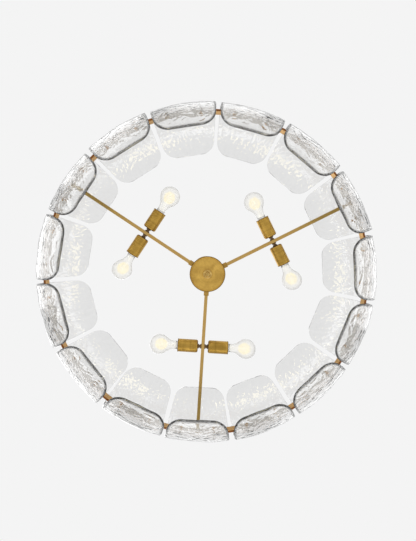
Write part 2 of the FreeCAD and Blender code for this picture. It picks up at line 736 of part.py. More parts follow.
def lampholders():
    """Insulating body in each cup with a deep well for the screw shell."""
    body = rod(CUP_D - 2 * CUP_T - 2 * SIDE_GAP, holder_base, holder_top)
    body = body.cut(rod(WELL_D, well_floor, holder_top))
    grip = holder_base + NIPPLE_HOLDER_GRIP + SEAT_GAP
    body = body.cut(rod(NIPPLE_D + 2 * THREAD_GAP, holder_base, grip))
    return each_socket(body)


def socket_contacts():
    """Screw shell and centre contact in each lampholder."""
    shell = tube(SHELL_D, SHELL_D - 2 * SHELL_T, well_floor, holder_top - SHELL_INSET)
    contact = rod(CONTACT_D, well_floor, well_floor + CONTACT_T)
    return each_socket(shell) + each_socket(contact)


def bulb_cap():
    """Screw cap: contact button, insulating cone and rounded thread ridges."""
    crest = CAP_D / 2
    root = crest - CAP_THREAD_DEPTH
    cone_z = cap_tip + CAP_BUTTON_H
    steps = [(CAP_BUTTON_D / 2, cap_tip), (CAP_BUTTON_D / 2, cone_z), (root, cap_thread_base)]
    for k in range(CAP_THREADS):
        low = cap_thread_base + k * CAP_THREAD_PITCH
        steps.append(((crest, low + CAP_THREAD_PITCH / 2), (root, low + CAP_THREAD_PITCH)))
    return lathe((0, cap_tip), *steps, (0, cap_top))


def bulb_globe():
    """Thin glass envelope: a round head that draws in to a narrow neck at the cap."""
    neck_r = CAP_D / 2 - CAP_THREAD_DEPTH
    head_r = GLOBE_D / 2
    centre = globe_tip - head_r
    neck_z = cap_top + GLOBE_NECK_L
    lean = math.radians(GLOBE_SHOULDER_ANGLE)

    def wall(inset):
        head = head_r - inset
        neck = neck_r - inset
        shoulder = (head * math.cos(lean), centre - head * math.sin(lean))
        mid = ((neck + shoulder[0]) / 2 - GLOBE_WAIST, (neck_z + shoulder[1]) / 2 + GLOBE_WAIST)
        return neck, head, shoulder, mid

    neck, head, shoulder, mid = wall(0)
    neck_in, head_in, shoulder_in, mid_in = wall(GLOBE_T)
    tilt = math.radians(45)
    return lathe(
        (neck, cap_top),
        (neck, neck_z),
        (mid, shoulder),
        ((head * math.cos(tilt), centre + head * math.sin(tilt)), (0, globe_tip)),
        (0, globe_tip - GLOBE_T),
        ((head_in * math.cos(tilt), centre + head_in * math.sin(tilt)), shoulder_in),
        (mid_in, (neck_in, neck_z)),
        (neck_in, cap_top),
    )


def bulb_filaments():
    """Glass mount on the cap with a centre wire and a ring of upright filament sticks on cross wires."""
    low = cap_top + MOUNT_L
    high = low + FILAMENT_L
    pieces = [rod(SUPPORT_WIRE_D, cap_top, high)]
    for k in range(FILAMENT_COUNT):
        angle = 360.0 * k / FILAMENT_COUNT
        stick = moved(rod(FILAMENT_D, low, high), FILAMENT_RING_R)
        pieces.append(spun(stick, angle))
        for level in (low + FILAMENT_D, high - FILAMENT_D):
            spoke = moved(along_x(rod(SUPPORT_WIRE_D, 0, FILAMENT_RING_R)), z=level)
            pieces.append(spun(spoke, angle))
    return rod(MOUNT_D, cap_top, low).fuse(pieces).removeSplitter()


def bulb():
    """One bulb for a lampholder at the Z axis: cap, globe and filament mount."""
    return [bulb_cap(), bulb_globe(), bulb_filaments()]


def lead(points, bend):
    """Round wire along straight runs with one tangent quarter bend at the middle point of three."""
    start, corner, end = points
    into = (corner - start).normalize()
    out = (end - corner).normalize()
    first = corner - into * bend
    last = corner + out * bend
    middle = first + out * bend + (into - out) * (bend * math.sqrt(0.5))
    path = Part.Wire([
        Part.LineSegment(start, first).toShape(),
        Part.Arc(first, middle, last).toShape(),
        Part.LineSegment(last, end).toShape(),
    ])
    section = Part.Wire(Part.makeCircle(LEAD_D / 2, start, into))
    return outward(path.makePipeShell([section], True, False))


def lamp_wires():
    """Three leads down the stem to the arms and two leads in each arm to its lampholders."""
    supply_end = arm_root_r - LEAD_TAIL - CONNECTOR_L
    drop = [V(LEAD_OFFSET, 0, pivot_z), V(LEAD_OFFSET, 0, ring_z), V(supply_end, 0, ring_z)]
    supply = lead(drop, LEAD_BEND_R)
    reach = holder_base + NIPPLE_HOLDER_GRIP
    start = arm_root_r - LEAD_TAIL
    branches = []
    for side in (-1, 1):
        y = side * LEAD_OFFSET
        run = [V(start, y, ring_z), V(SOCKET_R, y, ring_z), V(SOCKET_R, side * reach, ring_z)]
        branches.append(lead(run, LEAD_BEND_R))
    return each_arm([supply] + branches)


def splice_connectors():
    """Push-in connector in the hub at the root of each arm, which joins its leads to the stem's."""
    high = arm_root_r - LEAD_TAIL
    body = moved(along_x(rod(CONNECTOR_D, high - CONNECTOR_L, high)), z=ring_z)
    return each_arm([body])


def write(name, shape):
    """Write one node as a STEP file."""
    solids = shape if isinstance(shape, list) else [shape]
    joined = solids[0] if len(solids) == 1 else Part.makeCompound(solids)
    joined.exportStep("parts/" + name + ".step")
    bad = [k for k, solid in enumerate(joined.Solids) if not solid.isValid() or solid.Volume <= 0]
    volume = round(sum(solid.Volume for solid in joined.Solids), 1)
    print(name, len(joined.Solids), "solids", volume, "mm3", bad or "")


def main():
    """Build every node of the chandelier."""
    os.makedirs("parts", exist_ok=True)
    single = [
        mounting_strap, strap_nipple, strap_lock_nut, ground_screw, canopy, canopy_studs, canopy_ball_nuts,
        swivel_cap, swivel_collar, swivel_stud, swivel_yoke, stem_knuckle, pivot_screws, upper_stem,
        stem_coupling, lower_stem, hub_nipple, hub_lock_nut, hub_body, hub_cover, finial, arm_collars,
        arm_root_screws, arm_end_screws, ring_band, glass_screws, glass_grommets, glass_cap_nuts,
        socket_nipples, socket_lock_nuts, socket_cups, lampholders, socket_contacts, lamp_wires,
        splice_connectors,
    ]
    for make in single:
        write(make.__name__, make())
    bar = arm()
    for k, angle in enumerate(arm_angles):
        write("arm_%d" % (k + 1), spun(bar, angle))
    panel = glass_panel()
    for k, angle in enumerate(panel_angles):
        write("glass_panel_%02d" % (k + 1), spun(panel, angle))
    pieces = bulb()
    places = [(angle, side) for angle in arm_angles for side in (1, -1)]
    for k, (angle, side) in enumerate(places):
        write("bulb_%d" % (k + 1), [spun(at_socket(piece, side), angle) for piece in pieces])
    print("ring level", round(ring_z, 2), "pivot level", round(pivot_z, 2), "bulb tip", round(globe_tip, 2))


main()
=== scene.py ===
# %% [markdown]
# A drum chandelier seen from below: fifteen bent, rippled glass panels stand round a brass band, and
# three arms with six bulbs run from a small round hub to the band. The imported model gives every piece
# its real size and place. This lesson dresses it: glass that bends light, brass with a drawn grain,
# and bulbs that glow. All lengths are in metres.

# %% Load the frame
import json
import bmesh
import bpy
import numpy as np
from mathutils import Matrix, Vector

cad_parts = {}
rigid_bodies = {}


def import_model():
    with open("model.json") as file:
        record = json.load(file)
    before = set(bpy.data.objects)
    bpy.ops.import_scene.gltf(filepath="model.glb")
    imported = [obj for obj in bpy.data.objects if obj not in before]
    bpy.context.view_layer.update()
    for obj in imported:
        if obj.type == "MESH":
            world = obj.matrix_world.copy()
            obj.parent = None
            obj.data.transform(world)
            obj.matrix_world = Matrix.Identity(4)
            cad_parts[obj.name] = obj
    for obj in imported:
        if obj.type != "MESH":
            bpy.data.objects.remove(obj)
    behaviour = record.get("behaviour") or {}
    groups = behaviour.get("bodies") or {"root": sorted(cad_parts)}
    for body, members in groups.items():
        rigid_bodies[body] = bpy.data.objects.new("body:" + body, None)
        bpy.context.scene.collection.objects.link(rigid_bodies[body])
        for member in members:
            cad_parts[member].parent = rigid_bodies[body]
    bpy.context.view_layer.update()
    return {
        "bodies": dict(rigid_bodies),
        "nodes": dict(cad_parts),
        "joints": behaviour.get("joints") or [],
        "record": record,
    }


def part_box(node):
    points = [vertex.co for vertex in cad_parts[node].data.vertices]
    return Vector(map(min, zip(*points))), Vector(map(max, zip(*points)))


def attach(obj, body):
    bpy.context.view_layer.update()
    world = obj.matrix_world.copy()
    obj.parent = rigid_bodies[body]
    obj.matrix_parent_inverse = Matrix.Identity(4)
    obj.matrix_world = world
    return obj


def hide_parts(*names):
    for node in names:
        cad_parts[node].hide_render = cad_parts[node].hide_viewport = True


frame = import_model()
nodes = frame["nodes"]

# %% [markdown]
# Sizes come from the frame where it can give them. The first glass panel stands at the front, so its
# box tells the drum's outer radius, its height and the level of the ring. The band's box tells the
# band's radius and height, and the cover's box the radius of the hub.

# %% Measure the frame
panel_low, panel_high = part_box("glass_panel_01")
GLASS_R = -panel_low.y
GLASS_H = panel_high.z - panel_low.z
RING_Z = (panel_low.z + panel_high.z) / 2
band_low, band_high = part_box("ring_band")
BAND_R = band_high.x
BAND_H = band_high.z - band_low.z
hub_low, hub_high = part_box("hub_cover")
HUB_R = hub_high.x
PANELS = sorted(name for name in nodes if name.startswith("glass_panel_"))
ARMS = ("arm_1", "arm_2", "arm_3")
BULBS = sorted(name for name in frame["bodies"] if name.startswith("bulb_"))
print("drum radius %.3f height %.3f" % (GLASS_R, GLASS_H), "panels", len(PANELS), "bulbs", len(BULBS))

# %% [markdown]
# The photograph looks straight up from under the hub. The camera's place was worked out from the
# gaps between the panels, where the band shows: a little off the axis, leaning by a degree or two and
# rolled by a few. It could be aimed with a constraint, but a matrix made from its three axes needs no
# helper object.

# %% Camera
CAMERA_DROP = 0.988
CAMERA_ASIDE = (0.0163, 0.0400)
CAMERA_LEAN = np.radians((-1.005, -1.711))
CAMERA_ROLL = np.radians(3.633)
CAMERA_LENS = 21.4

ahead = Vector((np.sin(CAMERA_LEAN[0]), np.sin(CAMERA_LEAN[1]), 1.0)).normalized()
level = ahead.cross(Vector((0, 1, 0))).normalized()
upward = level.cross(ahead)
right = level * np.cos(CAMERA_ROLL) + upward * np.sin(CAMERA_ROLL)
top = upward * np.cos(CAMERA_ROLL) - level * np.sin(CAMERA_ROLL)

camera = bpy.data.objects.new("camera", bpy.data.cameras.new("camera"))
bpy.context.collection.objects.link(camera)
camera.data.lens = CAMERA_LENS
camera.matrix_world = (
    Matrix.Translation((CAMERA_ASIDE[0], CAMERA_ASIDE[1], RING_Z - CAMERA_DROP))
    @ Matrix((right, top, -ahead)).transposed().to_4x4()
)
bpy.context.scene.camera = camera
bpy.context.scene.view_settings.view_transform = "Standard"
print("camera at", [round(x, 3) for x in camera.location])

# %% [markdown]
# Every new piece is a grid of points worked out as one array, and four neighbours make a face. A round
# piece ends where it began and a pole is a whole row in one place, so a weld afterwards closes both.
# Ready-made cylinders could be bent instead, but a formula says what a shape is. Most pieces also
# carry a `grain` attribute: three numbers for each point that tell a finish where on the piece it is.

# %% Grid surfaces
WELD = 1e-6


def surface(name, points, grain=None):
    """Piece from one or more grids of points [..., rows, columns, 3]; equal points are welded."""
    index = np.arange(points[..., 0].size).reshape(points.shape[:-1])
    corners = (index[..., :-1, :-1], index[..., :-1, 1:], index[..., 1:, 1:], index[..., 1:, :-1])
    quads = np.stack(corners, axis=-1).reshape(-1, 4)
    mesh = bpy.data.meshes.new(name)
    mesh.from_pydata(points.reshape(-1, 3), [], quads)
    if grain is not None:
        layer = mesh.attributes.new("grain", "FLOAT_VECTOR", "POINT")
        layer.data.foreach_set("vector", np.broadcast_to(grain, points.shape).reshape(-1))
    weld = bmesh.new()
    weld.from_mesh(mesh)
    bmesh.ops.remove_doubles(weld, verts=weld.verts, dist=WELD)
    bmesh.ops.recalc_face_normals(weld, faces=weld.faces)
    weld.to_mesh(mesh)
    weld.free()
    mesh.polygons.foreach_set("use_smooth", np.ones(len(mesh.polygons), bool))
    piece = bpy.data.objects.new(name, mesh)
    bpy.context.collection.objects.link(piece)
    return piece


def closed_shell(outer, inner):
    """Rows of an outer face, of an inner face in reverse, and the first row again."""
    return np.concatenate([outer, inner[::-1], outer[:1]])


def settle(piece, body, slot, material, *stands_for):
    """Give a finished piece its body and its material, and hide the nodes that it replaces; its record
    slot is not used.
    """
    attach(piece, body)
    piece.data.materials.append(material)
    if stands_for:
        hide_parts(*stands_for)


print("points closer than", WELD, "are welded")

# %% [markdown]
# Machined and spun metal never has a knife edge. Outlines are written as a few corner points, and
# `eased` rounds each with a short curve. One more point beside each curve keeps the flats flat when
# the shading is smooth. A bevel modifier could do it too, but this keeps every piece a plain grid.

# %% Outlines with eased corners
FLAT_GUARD = 1.25


def eased(corners, reach, steps=6):
    """Open outline with its inner corners rounded.

    A corner C becomes the curve (1-t)^2 A + 2t(1-t) C + t^2 B, where A and B lie `reach` along the
    sides before and after it. Two more points, further out by the guard's factor, keep the sides flat.
    """
    corners = np.asarray(corners, float)
    middle = corners[1:-1]
    back = corners[:-2] - middle
    on = corners[2:] - middle
    back /= np.linalg.norm(back, axis=1, keepdims=True)
    on /= np.linalg.norm(on, axis=1, keepdims=True)
    reach = np.broadcast_to(np.asarray(reach, float), len(middle))[:, None]
    start = (middle + back * reach)[:, None]
    end = (middle + on * reach)[:, None]
    t = np.linspace(0, 1, steps)[None, :, None]
    curve = (1 - t) ** 2 * start + 2 * t * (1 - t) * middle[:, None] + t ** 2 * end
    first = (middle + back * reach * FLAT_GUARD)[:, None]
    last = (middle + on * reach * FLAT_GUARD)[:, None]
    rounded = np.concatenate([first, curve, last], axis=1).reshape(-1, 2)
    return np.concatenate([corners[:1], rounded, corners[-1:]])


def bar_outline(x0, x1, y0, y1, reach):
    """Rectangle with its corners eased, run round once: the last point repeats the first."""
    corners = np.array([(x0, y0), (x1, y0), (x1, y1), (x0, y1)])
    loop = eased(np.concatenate([corners[-1:], corners, corners[:1]]), reach)[1:-1]
    return np.concatenate([loop, loop[:1]])


def lathe_profile(*rows):
    """Profile from rows of radius, height and ease; the first and last corner stay sharp."""
    rows = np.array(rows)
    return eased(rows[:, :2], rows[1:-1, 2])


print("an eased corner has", len(lathe_profile((0, 0, 0), (1, 0, 0.1), (1, 1, 0))) - 2, "points")

# %% [markdown]
# The hub, the cups and the bulbs are round: turned on a lathe, spun over a former or blown into a
# mould. Each is a profile of radius and height that runs once round its axis. The same function also
# takes a radius that changes on the way round, which a screw thread needs.

# %% Turned pieces
def round_axis(name, radius, height, origin, axis, mark):
    """Piece round an axis through origin, from grids of radius and height with one column per step.

    Its grain is (mark, radius, height).
    """
    along = np.asarray(axis, float)
    side = np.array([1.0, 0, 0]) if abs(along[2]) > 0.5 else np.array([0, 0, 1.0])
    basis = np.stack([side, np.cross(along, side), along])
    turn = np.linspace(0, 2 * np.pi, radius.shape[1])
    local = np.stack([radius * np.cos(turn), radius * np.sin(turn), height], axis=-1)
    grain = np.stack([mark + 0 * radius, radius, height], axis=-1)
    return surface(name, local @ basis + np.asarray(origin, float), grain)


def turned(name, profile, origin=(0, 0, 0), axis=(0, 0, 1), steps=96, mark=0.0):
    """Turned piece: every profile point (radius, height) runs once round the axis, with its own mark."""
    radius = profile[:, :1] * np.ones(steps + 1)
    height = profile[:, 1:] * np.ones(steps + 1)
    return round_axis(name, radius, height, origin, axis, np.reshape(mark, (-1, 1)))


print("an upright axis is the default")

# %% [markdown]
# A finish is a tree of nodes. Written link by link it would hide what the finish is, so a few helpers
# make a node, fill its sockets and hand on what comes out of it.

# %% Node helpers
def fill(socket, value):
    """Link another node's output to a socket, or set a constant on it; a colour becomes opaque."""
    if isinstance(value, bpy.types.NodeSocket):
        socket.id_data.links.new(value, socket)
    elif socket.type == "RGBA":
        socket.default_value = (*value, 1)
    else:
        socket.default_value = value


def feed(node, **sockets):
    """Fill a node's sockets by name, with _ for a space."""
    for name, value in sockets.items():
        fill(node.inputs[name.replace("_", " ")], value)


def add(tree, kind, *sockets, **values):
    """New node: sockets in order, or by name where the name ends in _; other names are properties."""
    node = tree.nodes.new(kind)
    named = {key[:-1]: value for key, value in values.items() if key.endswith("_")}
    for key, value in values.items():
        if not key.endswith("_"):
            setattr(node, key, value)
    for socket, value in zip(node.inputs, sockets):
        fill(socket, value)
    feed(node, **named)
    return node


def maths(tree, operation, *terms):
    """Output of a Math node for terms that are sockets or numbers."""
    return add(tree, "ShaderNodeMath", *terms, operation=operation).outputs[0]


def mixed(tree, share, first, second):
    """Colour that runs from the first to the second with a share of 0 to 1."""
    node = add(tree, "ShaderNodeMix", data_type="RGBA", Factor_=share, A_=first, B_=second)
    return node.outputs["Result"]


def ranged(tree, value, start=(0.0, 1.0), end=(0.0, 1.0)):
    """Value brought from one range to another and kept inside it."""
    node = add(tree, "ShaderNodeMapRange", Value_=value, From_Min_=start[0], From_Max_=start[1],
               To_Min_=end[0], To_Max_=end[1])
    return node.outputs["Result"]


def grain_of(tree):
    """The piece's grain attribute."""
    return add(tree, "ShaderNodeAttribute", attribute_name="grain").outputs["Vector"]


def number_of(tree, vector, letter):
    """One number of a vector: X, Y or Z."""
    return add(tree, "ShaderNodeSeparateXYZ", vector).outputs[letter]


def new_material(name):
    """Material with its node tree and its Principled shader."""
    material = bpy.data.materials.new(name)
    material.use_nodes = True
    return material, material.node_tree, material.node_tree.nodes["Principled BSDF"]


print("node helpers ready")

# %% [markdown]
# Effects that several finishes share are node groups. `Drawn grain` gives the fine lines that a
# brush or an abrasive belt leaves: noise that is stretched a long way along the marks. `Lacquer
# cloud` gives the slow, soft change of tone of metal that was brushed by hand and lacquered. `Fine
# speckle` gives small dark spots where the air got under the lacquer: only the peaks of a fine noise.

# %% Shared finish effects
NOISE_MIDDLE = (0.3, 0.7)
NOISE_PEAKS = (0.62, 0.74)


def group(name, mask, **inputs):
    """Empty node group that gives out one mask: its tree, its inputs by name and the mask's socket."""
    tree = bpy.data.node_groups.new(name, "ShaderNodeTree")
    for socket, value in inputs.items():
        kind = "NodeSocketFloat" if isinstance(value, float) else "NodeSocketVector"
        made = tree.interface.new_socket(name=socket, in_out="INPUT", socket_type=kind)
        made.default_value = value
    tree.interface.new_socket(name=mask, in_out="OUTPUT", socket_type="NodeSocketFloat")
    given = tree.nodes.new("NodeGroupInput").outputs
    return tree, given, tree.nodes.new("NodeGroupOutput").inputs[mask]


def drawn_grain():
    """Streaks: noise of the vector (along / stretch, across, across) times the lines per metre."""
    tree, given, streaks = group("Drawn grain", "Streaks", Vector=(0, 0, 0), Lines=2500.0, Stretch=60.0)
    shorter = maths(tree, "DIVIDE", 1.0, given["Stretch"])
    factors = add(tree, "ShaderNodeCombineXYZ", shorter, 1.0, 1.0).outputs[0]
    squeezed = add(tree, "ShaderNodeVectorMath", given["Vector"], factors, operation="MULTIPLY")
    noise = add(tree, "ShaderNodeTexNoise", Vector_=squeezed.outputs[0], Scale_=given["Lines"],
                Detail_=3.0, Roughness_=0.6)
    fill(streaks, ranged(tree, noise.outputs["Fac"], NOISE_MIDDLE))
    return tree


def place_noise(name, mask, size, span, **settings):
    """Noise on Object coordinates: the given span of its range is spread over 0 to 1."""
    tree, given, out = group(name, mask, Size=size)
    place = add(tree, "ShaderNodeTexCoord").outputs["Object"]
    noise = add(tree, "ShaderNodeTexNoise", Vector_=place, Scale_=given["Size"], **settings)
    fill(out, ranged(tree, noise.outputs["Fac"], span))
    return tree


GRAIN = drawn_grain()
CLOUD = place_noise("Lacquer cloud", "Cloud", 14.0, NOISE_MIDDLE, Detail_=4.0, Roughness_=0.55,
                    Distortion_=0.6)
SPECKLE = place_noise("Fine speckle", "Specks", 500.0, NOISE_PEAKS, Detail_=2.0)


def streak_mask(tree, place, **values):
    """Drawn grain at a place on the piece."""
    return add(tree, "ShaderNodeGroup", node_tree=GRAIN, Vector_=place, **values).outputs["Streaks"]


def cloud_mask(tree, size):
    """Lacquer cloud; the larger the size, the smaller its patches."""
    return add(tree, "ShaderNodeGroup", node_tree=CLOUD, Size_=size).outputs["Cloud"]


print("finish groups", [tree.name for tree in (GRAIN, CLOUD, SPECKLE)])

# %% [markdown]
# One function mixes the three effects into a finish. The base colour runs from a light to a dark tone
# with streaks, cloud and specks, and the same masks roughen the surface. Brass is all metal. Steel,
# plastic and rubber use the same masks with other colours later, so no piece is left in one flat
# colour. A solid from the frame has no grain, so its streaks follow Object coordinates.

# %% A finish from light, dark and grain
def finish(name, light, dark, metal=1.0, rough=(0.28, 0.42), cloud=0.5, streaks=0.35, specks=0.15,
           lines=2500.0, cloud_size=14.0, has_grain=True):
    """Material whose colour runs from light to dark, and whose roughness runs between two values.

    Both follow the sum of streaks, cloud and specks, each times its share. The streaks also stand
    out a little from the surface.
    """
    material, tree, shader = new_material(name)
    place = grain_of(tree) if has_grain else add(tree, "ShaderNodeTexCoord").outputs["Object"]
    grain = streak_mask(tree, place, Lines_=lines)
    spots = add(tree, "ShaderNodeGroup", node_tree=SPECKLE).outputs["Specks"]
    total = 0.0
    for mask, share in ((grain, streaks), (cloud_mask(tree, cloud_size), cloud), (spots, specks)):
        total = maths(tree, "MULTIPLY_ADD", mask, share, total)
    raised = add(tree, "ShaderNodeBump", Height_=grain, Strength_=0.05, Distance_=0.0002)
    feed(shader, Metallic=metal, Base_Color=mixed(tree, total, light, dark),
         Roughness=ranged(tree, total, end=rough), Normal=raised.outputs["Normal"])
    return material


hub_brass = finish("satin brass, turned", (0.92, 0.59, 0.14), (0.42, 0.24, 0.05), cloud=0.6, specks=0.3,
                   lines=1800.0, cloud_size=34.0)
# The finial is a lighter brass than the cover.
finial_brass = finish("satin brass, light tone", (1.0, 0.70, 0.24), (0.34, 0.20, 0.05), lines=1800.0,
                      cloud=0.8, cloud_size=120.0)
arm_brass = finish("satin brass, drawn", (0.66, 0.43, 0.145), (0.52, 0.325, 0.10), lines=2600.0)
cup_brass = finish("satin brass, spun", (0.68, 0.42, 0.09), (0.30, 0.17, 0.03), streaks=0.5, specks=0.3,
                   lines=1000.0, cloud_size=40.0)
band_brass = finish("band brass", (0.62, 0.37, 0.14), (0.44, 0.25, 0.08), lines=2600.0)
collar_brass = finish("satin brass, dark", (0.62, 0.38, 0.10), (0.32, 0.18, 0.04), cloud=0.7,
                      cloud_size=60.0, has_grain=False)
plain_brass = finish("satin brass, polished by hand", (0.60, 0.38, 0.11), (0.44, 0.26, 0.06),
                     has_grain=False)
print("materials so far", len(bpy.data.materials))

# %% [markdown]
# The brass is not one tone. The band falls to a deep brown within a millimetre or two of its upper and
# lower edge, and the hub is dark along its rim. The arms are painted slowly darker on their way out, a
# painted shade for the darker reflections further out. Each mask comes from one number of the grain,
# the height, the radius or the way along, so it stays with the piece when the drum turns. Through
# rippled glass brass looks washed out, so the band's inner side and the arms are painted paler for rays
# that came through glass: a painted veil of light.

# %% Brass with darkened edges
BAND_EASE = 0.0008


def tint(material, mask, colour):
    """Mix what feeds a material's base colour towards another colour by a mask."""
    base = material.node_tree.nodes["Principled BSDF"].inputs["Base Color"]
    fill(base, mixed(material.node_tree, mask, base.links[0].from_socket, colour))


def darken_edges(material, brown, half, width, middle=0.0, letter="Z"):
    """Mix the base colour towards brown where one number of the grain nears either end of its run.

    The mask starts where |number - middle| passes half - width, and is full at half - width / 3.
    """
    tree = material.node_tree
    number = number_of(tree, grain_of(tree), letter)
    away = maths(tree, "ABSOLUTE", maths(tree, "SUBTRACT", number, middle))
    tint(material, ranged(tree, away, (half - width, half - width / 3)), brown)


def paint_veil_through_glass(material, pale, share, within=1.0):
    """Paint a pale veil of light: mix the base colour towards a pale tone by a share, for rays through
    glass.

    It does so where the grain's second number is below within, which is everywhere if not given.
    """
    tree = material.node_tree
    through = add(tree, "ShaderNodeLightPath").outputs["Is Transmission Ray"]
    inside = maths(tree, "LESS_THAN", number_of(tree, grain_of(tree), "Y"), within)
    tint(material, maths(tree, "MULTIPLY", maths(tree, "MULTIPLY", through, share), inside), pale)


darken_edges(band_brass, (0.26, 0.10, 0.03), half=BAND_H / 2, width=0.0016)
darken_edges(hub_brass, (0.22, 0.12, 0.025), half=HUB_R, width=0.0036, letter="Y")
# Painted shade: the arms are painted darker on their way out to the band.
darken_edges(arm_brass, (0.42, 0.28, 0.085), half=BAND_R, width=0.27, letter="X")
# Painted light: a pale veil on the band's inner side and the arms, for rays that came through glass.
paint_veil_through_glass(band_brass, (0.54, 0.53, 0.505), share=0.93, within=BAND_R - BAND_EASE)
paint_veil_through_glass(arm_brass, (0.62, 0.60, 0.55), share=0.60)
print("darkened", [material.name for material in (band_brass, hub_brass, arm_brass)])

# %% [markdown]
# The panels are the portrait. Each is one sheet of glass bent to a C over a former while hot, so its
# faces are rippled, its edges are fire-polished round, and no two hang quite alike. The sheet could
# be a plane with a Solidify modifier, but then the edge would be square, so the shape is written as
# formulas. The bend is a circle through the drum's widest line and both ends of the sheet. Ripples
# are sums of seeded waves, so every panel is its own and comes out the same each time.

# %% Bend, outline and ripples of a panel
GLASS_T = 0.008
GLASS_EDGE_R = 0.401
GLASS_CORNER_R = 0.044
PANEL_SPAN = np.radians(22.5)
BEND_R = (GLASS_H ** 2 / 4 + (GLASS_R - GLASS_EDGE_R) ** 2) / (2 * (GLASS_R - GLASS_EDGE_R))
BEND_CENTRE_R = GLASS_R - BEND_R
BEND_SWEEP = np.arccos((GLASS_EDGE_R - BEND_CENTRE_R) / BEND_R)
SHEET_R = BEND_R - GLASS_T / 2


def ripples(x, y, seed, count, shortest, longest, stretch):
    """Ripple height, about -1 to 1, at sheet coordinates x and y.

    It is a sum of sine waves over the root of their count. Each wave has its own length between
    shortest and longest, its own heading and phase, and is stretched along y. The last four numbers
    are kept together below as a set of waves.
    """
    rng = np.random.default_rng(seed)
    length = shortest * (longest / shortest) ** rng.random(count)
    heading = 2 * np.pi * rng.random(count)
    phase = 2 * np.pi * rng.random(count)
    across = 2 * np.pi * np.cos(heading) / length
    along = 2 * np.pi * np.sin(heading) / length / stretch
    return np.sin(x[..., None] * across + y[..., None] * along + phase).sum(axis=-1) / np.sqrt(count)


def half_angle(radius, inner):
    """Half of the angle that a panel spans at a radius.

    It is half the span, but near the inner edge it follows a corner circle: by the law of cosines
    the circle's point at that radius lies acos((r^2 + c^2 - R^2) / 2rc) from the circle's centre.
    """
    centre = inner + GLASS_CORNER_R
    turn = np.arcsin(GLASS_CORNER_R / centre)
    reach = centre * np.cos(turn)
    near = np.clip(radius, inner, reach)
    beside = (near ** 2 + centre ** 2 - GLASS_CORNER_R ** 2) / (2 * near * centre)
    return PANEL_SPAN / 2 - turn + np.arccos(np.clip(beside, -1, 1))


print("bend radius %.3f, sweep %.1f degrees each way" % (BEND_R, np.degrees(BEND_SWEEP)))

# %% [markdown]
# The sheet's two ends sagged while it was hot, so they bow and waver a little, and some sheets came
# out longer than others. Grid lines crowd towards the rim, where the glass rounds off within four
# millimetres. Each point's distance from the nearest edge is kept, because the rim and the ripples
# need it.

# %% The bent sheet
PANEL_ROWS = 170
PANEL_COLUMNS = 100
PANEL_W = 0.18
RIM_CROWD = 1.4
END_BOW = 0.016
END_WAVER = 0.002
END_WAVES = (4, 0.12, 0.4, 1.0)
TINY = 1e-9


def crowded(count):
    """Numbers from -1 to 1 that crowd towards both ends: sign(u) (1 - (1 - |u|)^power)."""
    u = np.linspace(-1, 1, count)
    return np.sign(u) * (1 - (1 - np.abs(u)) ** RIM_CROWD)


def bent_sheet(seed, longer):
    """Grid of a sheet: share up, angle up the bend, angle across, x and y on it, distance to its edge.

    The distance d is made from those to the end, e, and to the side, s: 1 / d^2 = 1 / e^2 + 1 / s^2.
    """
    up, across = np.meshgrid(crowded(PANEL_ROWS), crowded(PANEL_COLUMNS), indexing="ij")
    waver = END_WAVER * ripples(across * PANEL_W / 2, 0 * across, seed + 1, *END_WAVES)
    sweep = BEND_SWEEP * (1 + waver + END_BOW * (0.5 - across ** 2)) * longer
    theta = up * sweep
    radius = BEND_CENTRE_R + SHEET_R * np.cos(theta)
    even = BEND_CENTRE_R + SHEET_R * np.cos(np.array([up * BEND_SWEEP, 0 * up + BEND_SWEEP]))
    half = half_angle(*even)
    phi = across * half
    from_end = SHEET_R * (1 - np.abs(up)) * sweep
    from_side = (1 - np.abs(across)) * half * radius
    inset = from_end * from_side / np.maximum(np.hypot(from_end, from_side), TINY)
    return up, theta, phi, phi * radius, SHEET_R * theta, inset


print("sheet grid", PANEL_ROWS, "by", PANEL_COLUMNS)

# %% [markdown]
# Light gets lost in the thick lower rim, so it looks dark, and the upper flap, the petal, is a little
# grey. Both could be left to the light alone, but too few rays find their way through such an edge,
# so a darkness is worked out here and kept in the grain. Each panel also leans by a degree or so, as
# hand-hung glass does. Of a pair of rim widths the first is for the lower flap.

# %% Rim and lean of a panel
RIM_DARK = (0.0066, 0.0022)
RIM_FULL = 1.5
RIM_FAINT = 0.10
RIM_FADE = (0.25, 0.75)
PETAL_SHADE = 0.085
PETAL_BLEND = 2.0
LEAN_SPREAD = (0.9, 0.9, 0.5)


def small_turn(lean, twist, roll):
    """Rotation by small angles about the tangent, then the radius, then the upright."""
    about_radius = Matrix.Rotation(twist, 3, "X")
    about_tangent = Matrix.Rotation(lean, 3, "Y")
    return np.array(Matrix.Rotation(roll, 3, "Z") @ about_radius @ about_tangent)


def petal_share(up):
    """0 on the lower flap and 1 on the petal, with a short change at the band."""
    return np.clip(0.5 + PETAL_BLEND * up, 0, 1)


def rim_darkness(up, inset):
    """Darkness 0 to 1: near the edge, fading up the sheet, and a faint shade on the petal."""
    fade = np.clip((-up - RIM_FADE[0]) / (RIM_FADE[1] - RIM_FADE[0]), RIM_FAINT, 1)
    edge = fade * np.clip(RIM_FULL * (1 - inset / np.where(up < 0, *RIM_DARK)), 0, 1)
    return np.maximum(edge, PETAL_SHADE * petal_share(up))


print("panels lean by about", LEAN_SPREAD, "degrees")

# %% [markdown]
# One grid runs up the outer face and back down the inner face. The thickness falls to nothing at the
# outline along a quarter circle, so the rim is round and both faces weld into one closed shell. The
# lower flap has long streaks that wander, where the soft sheet was drawn, and the petal has short
# ripples. The two faces differ, as the former pressed one and the fire softened the other.

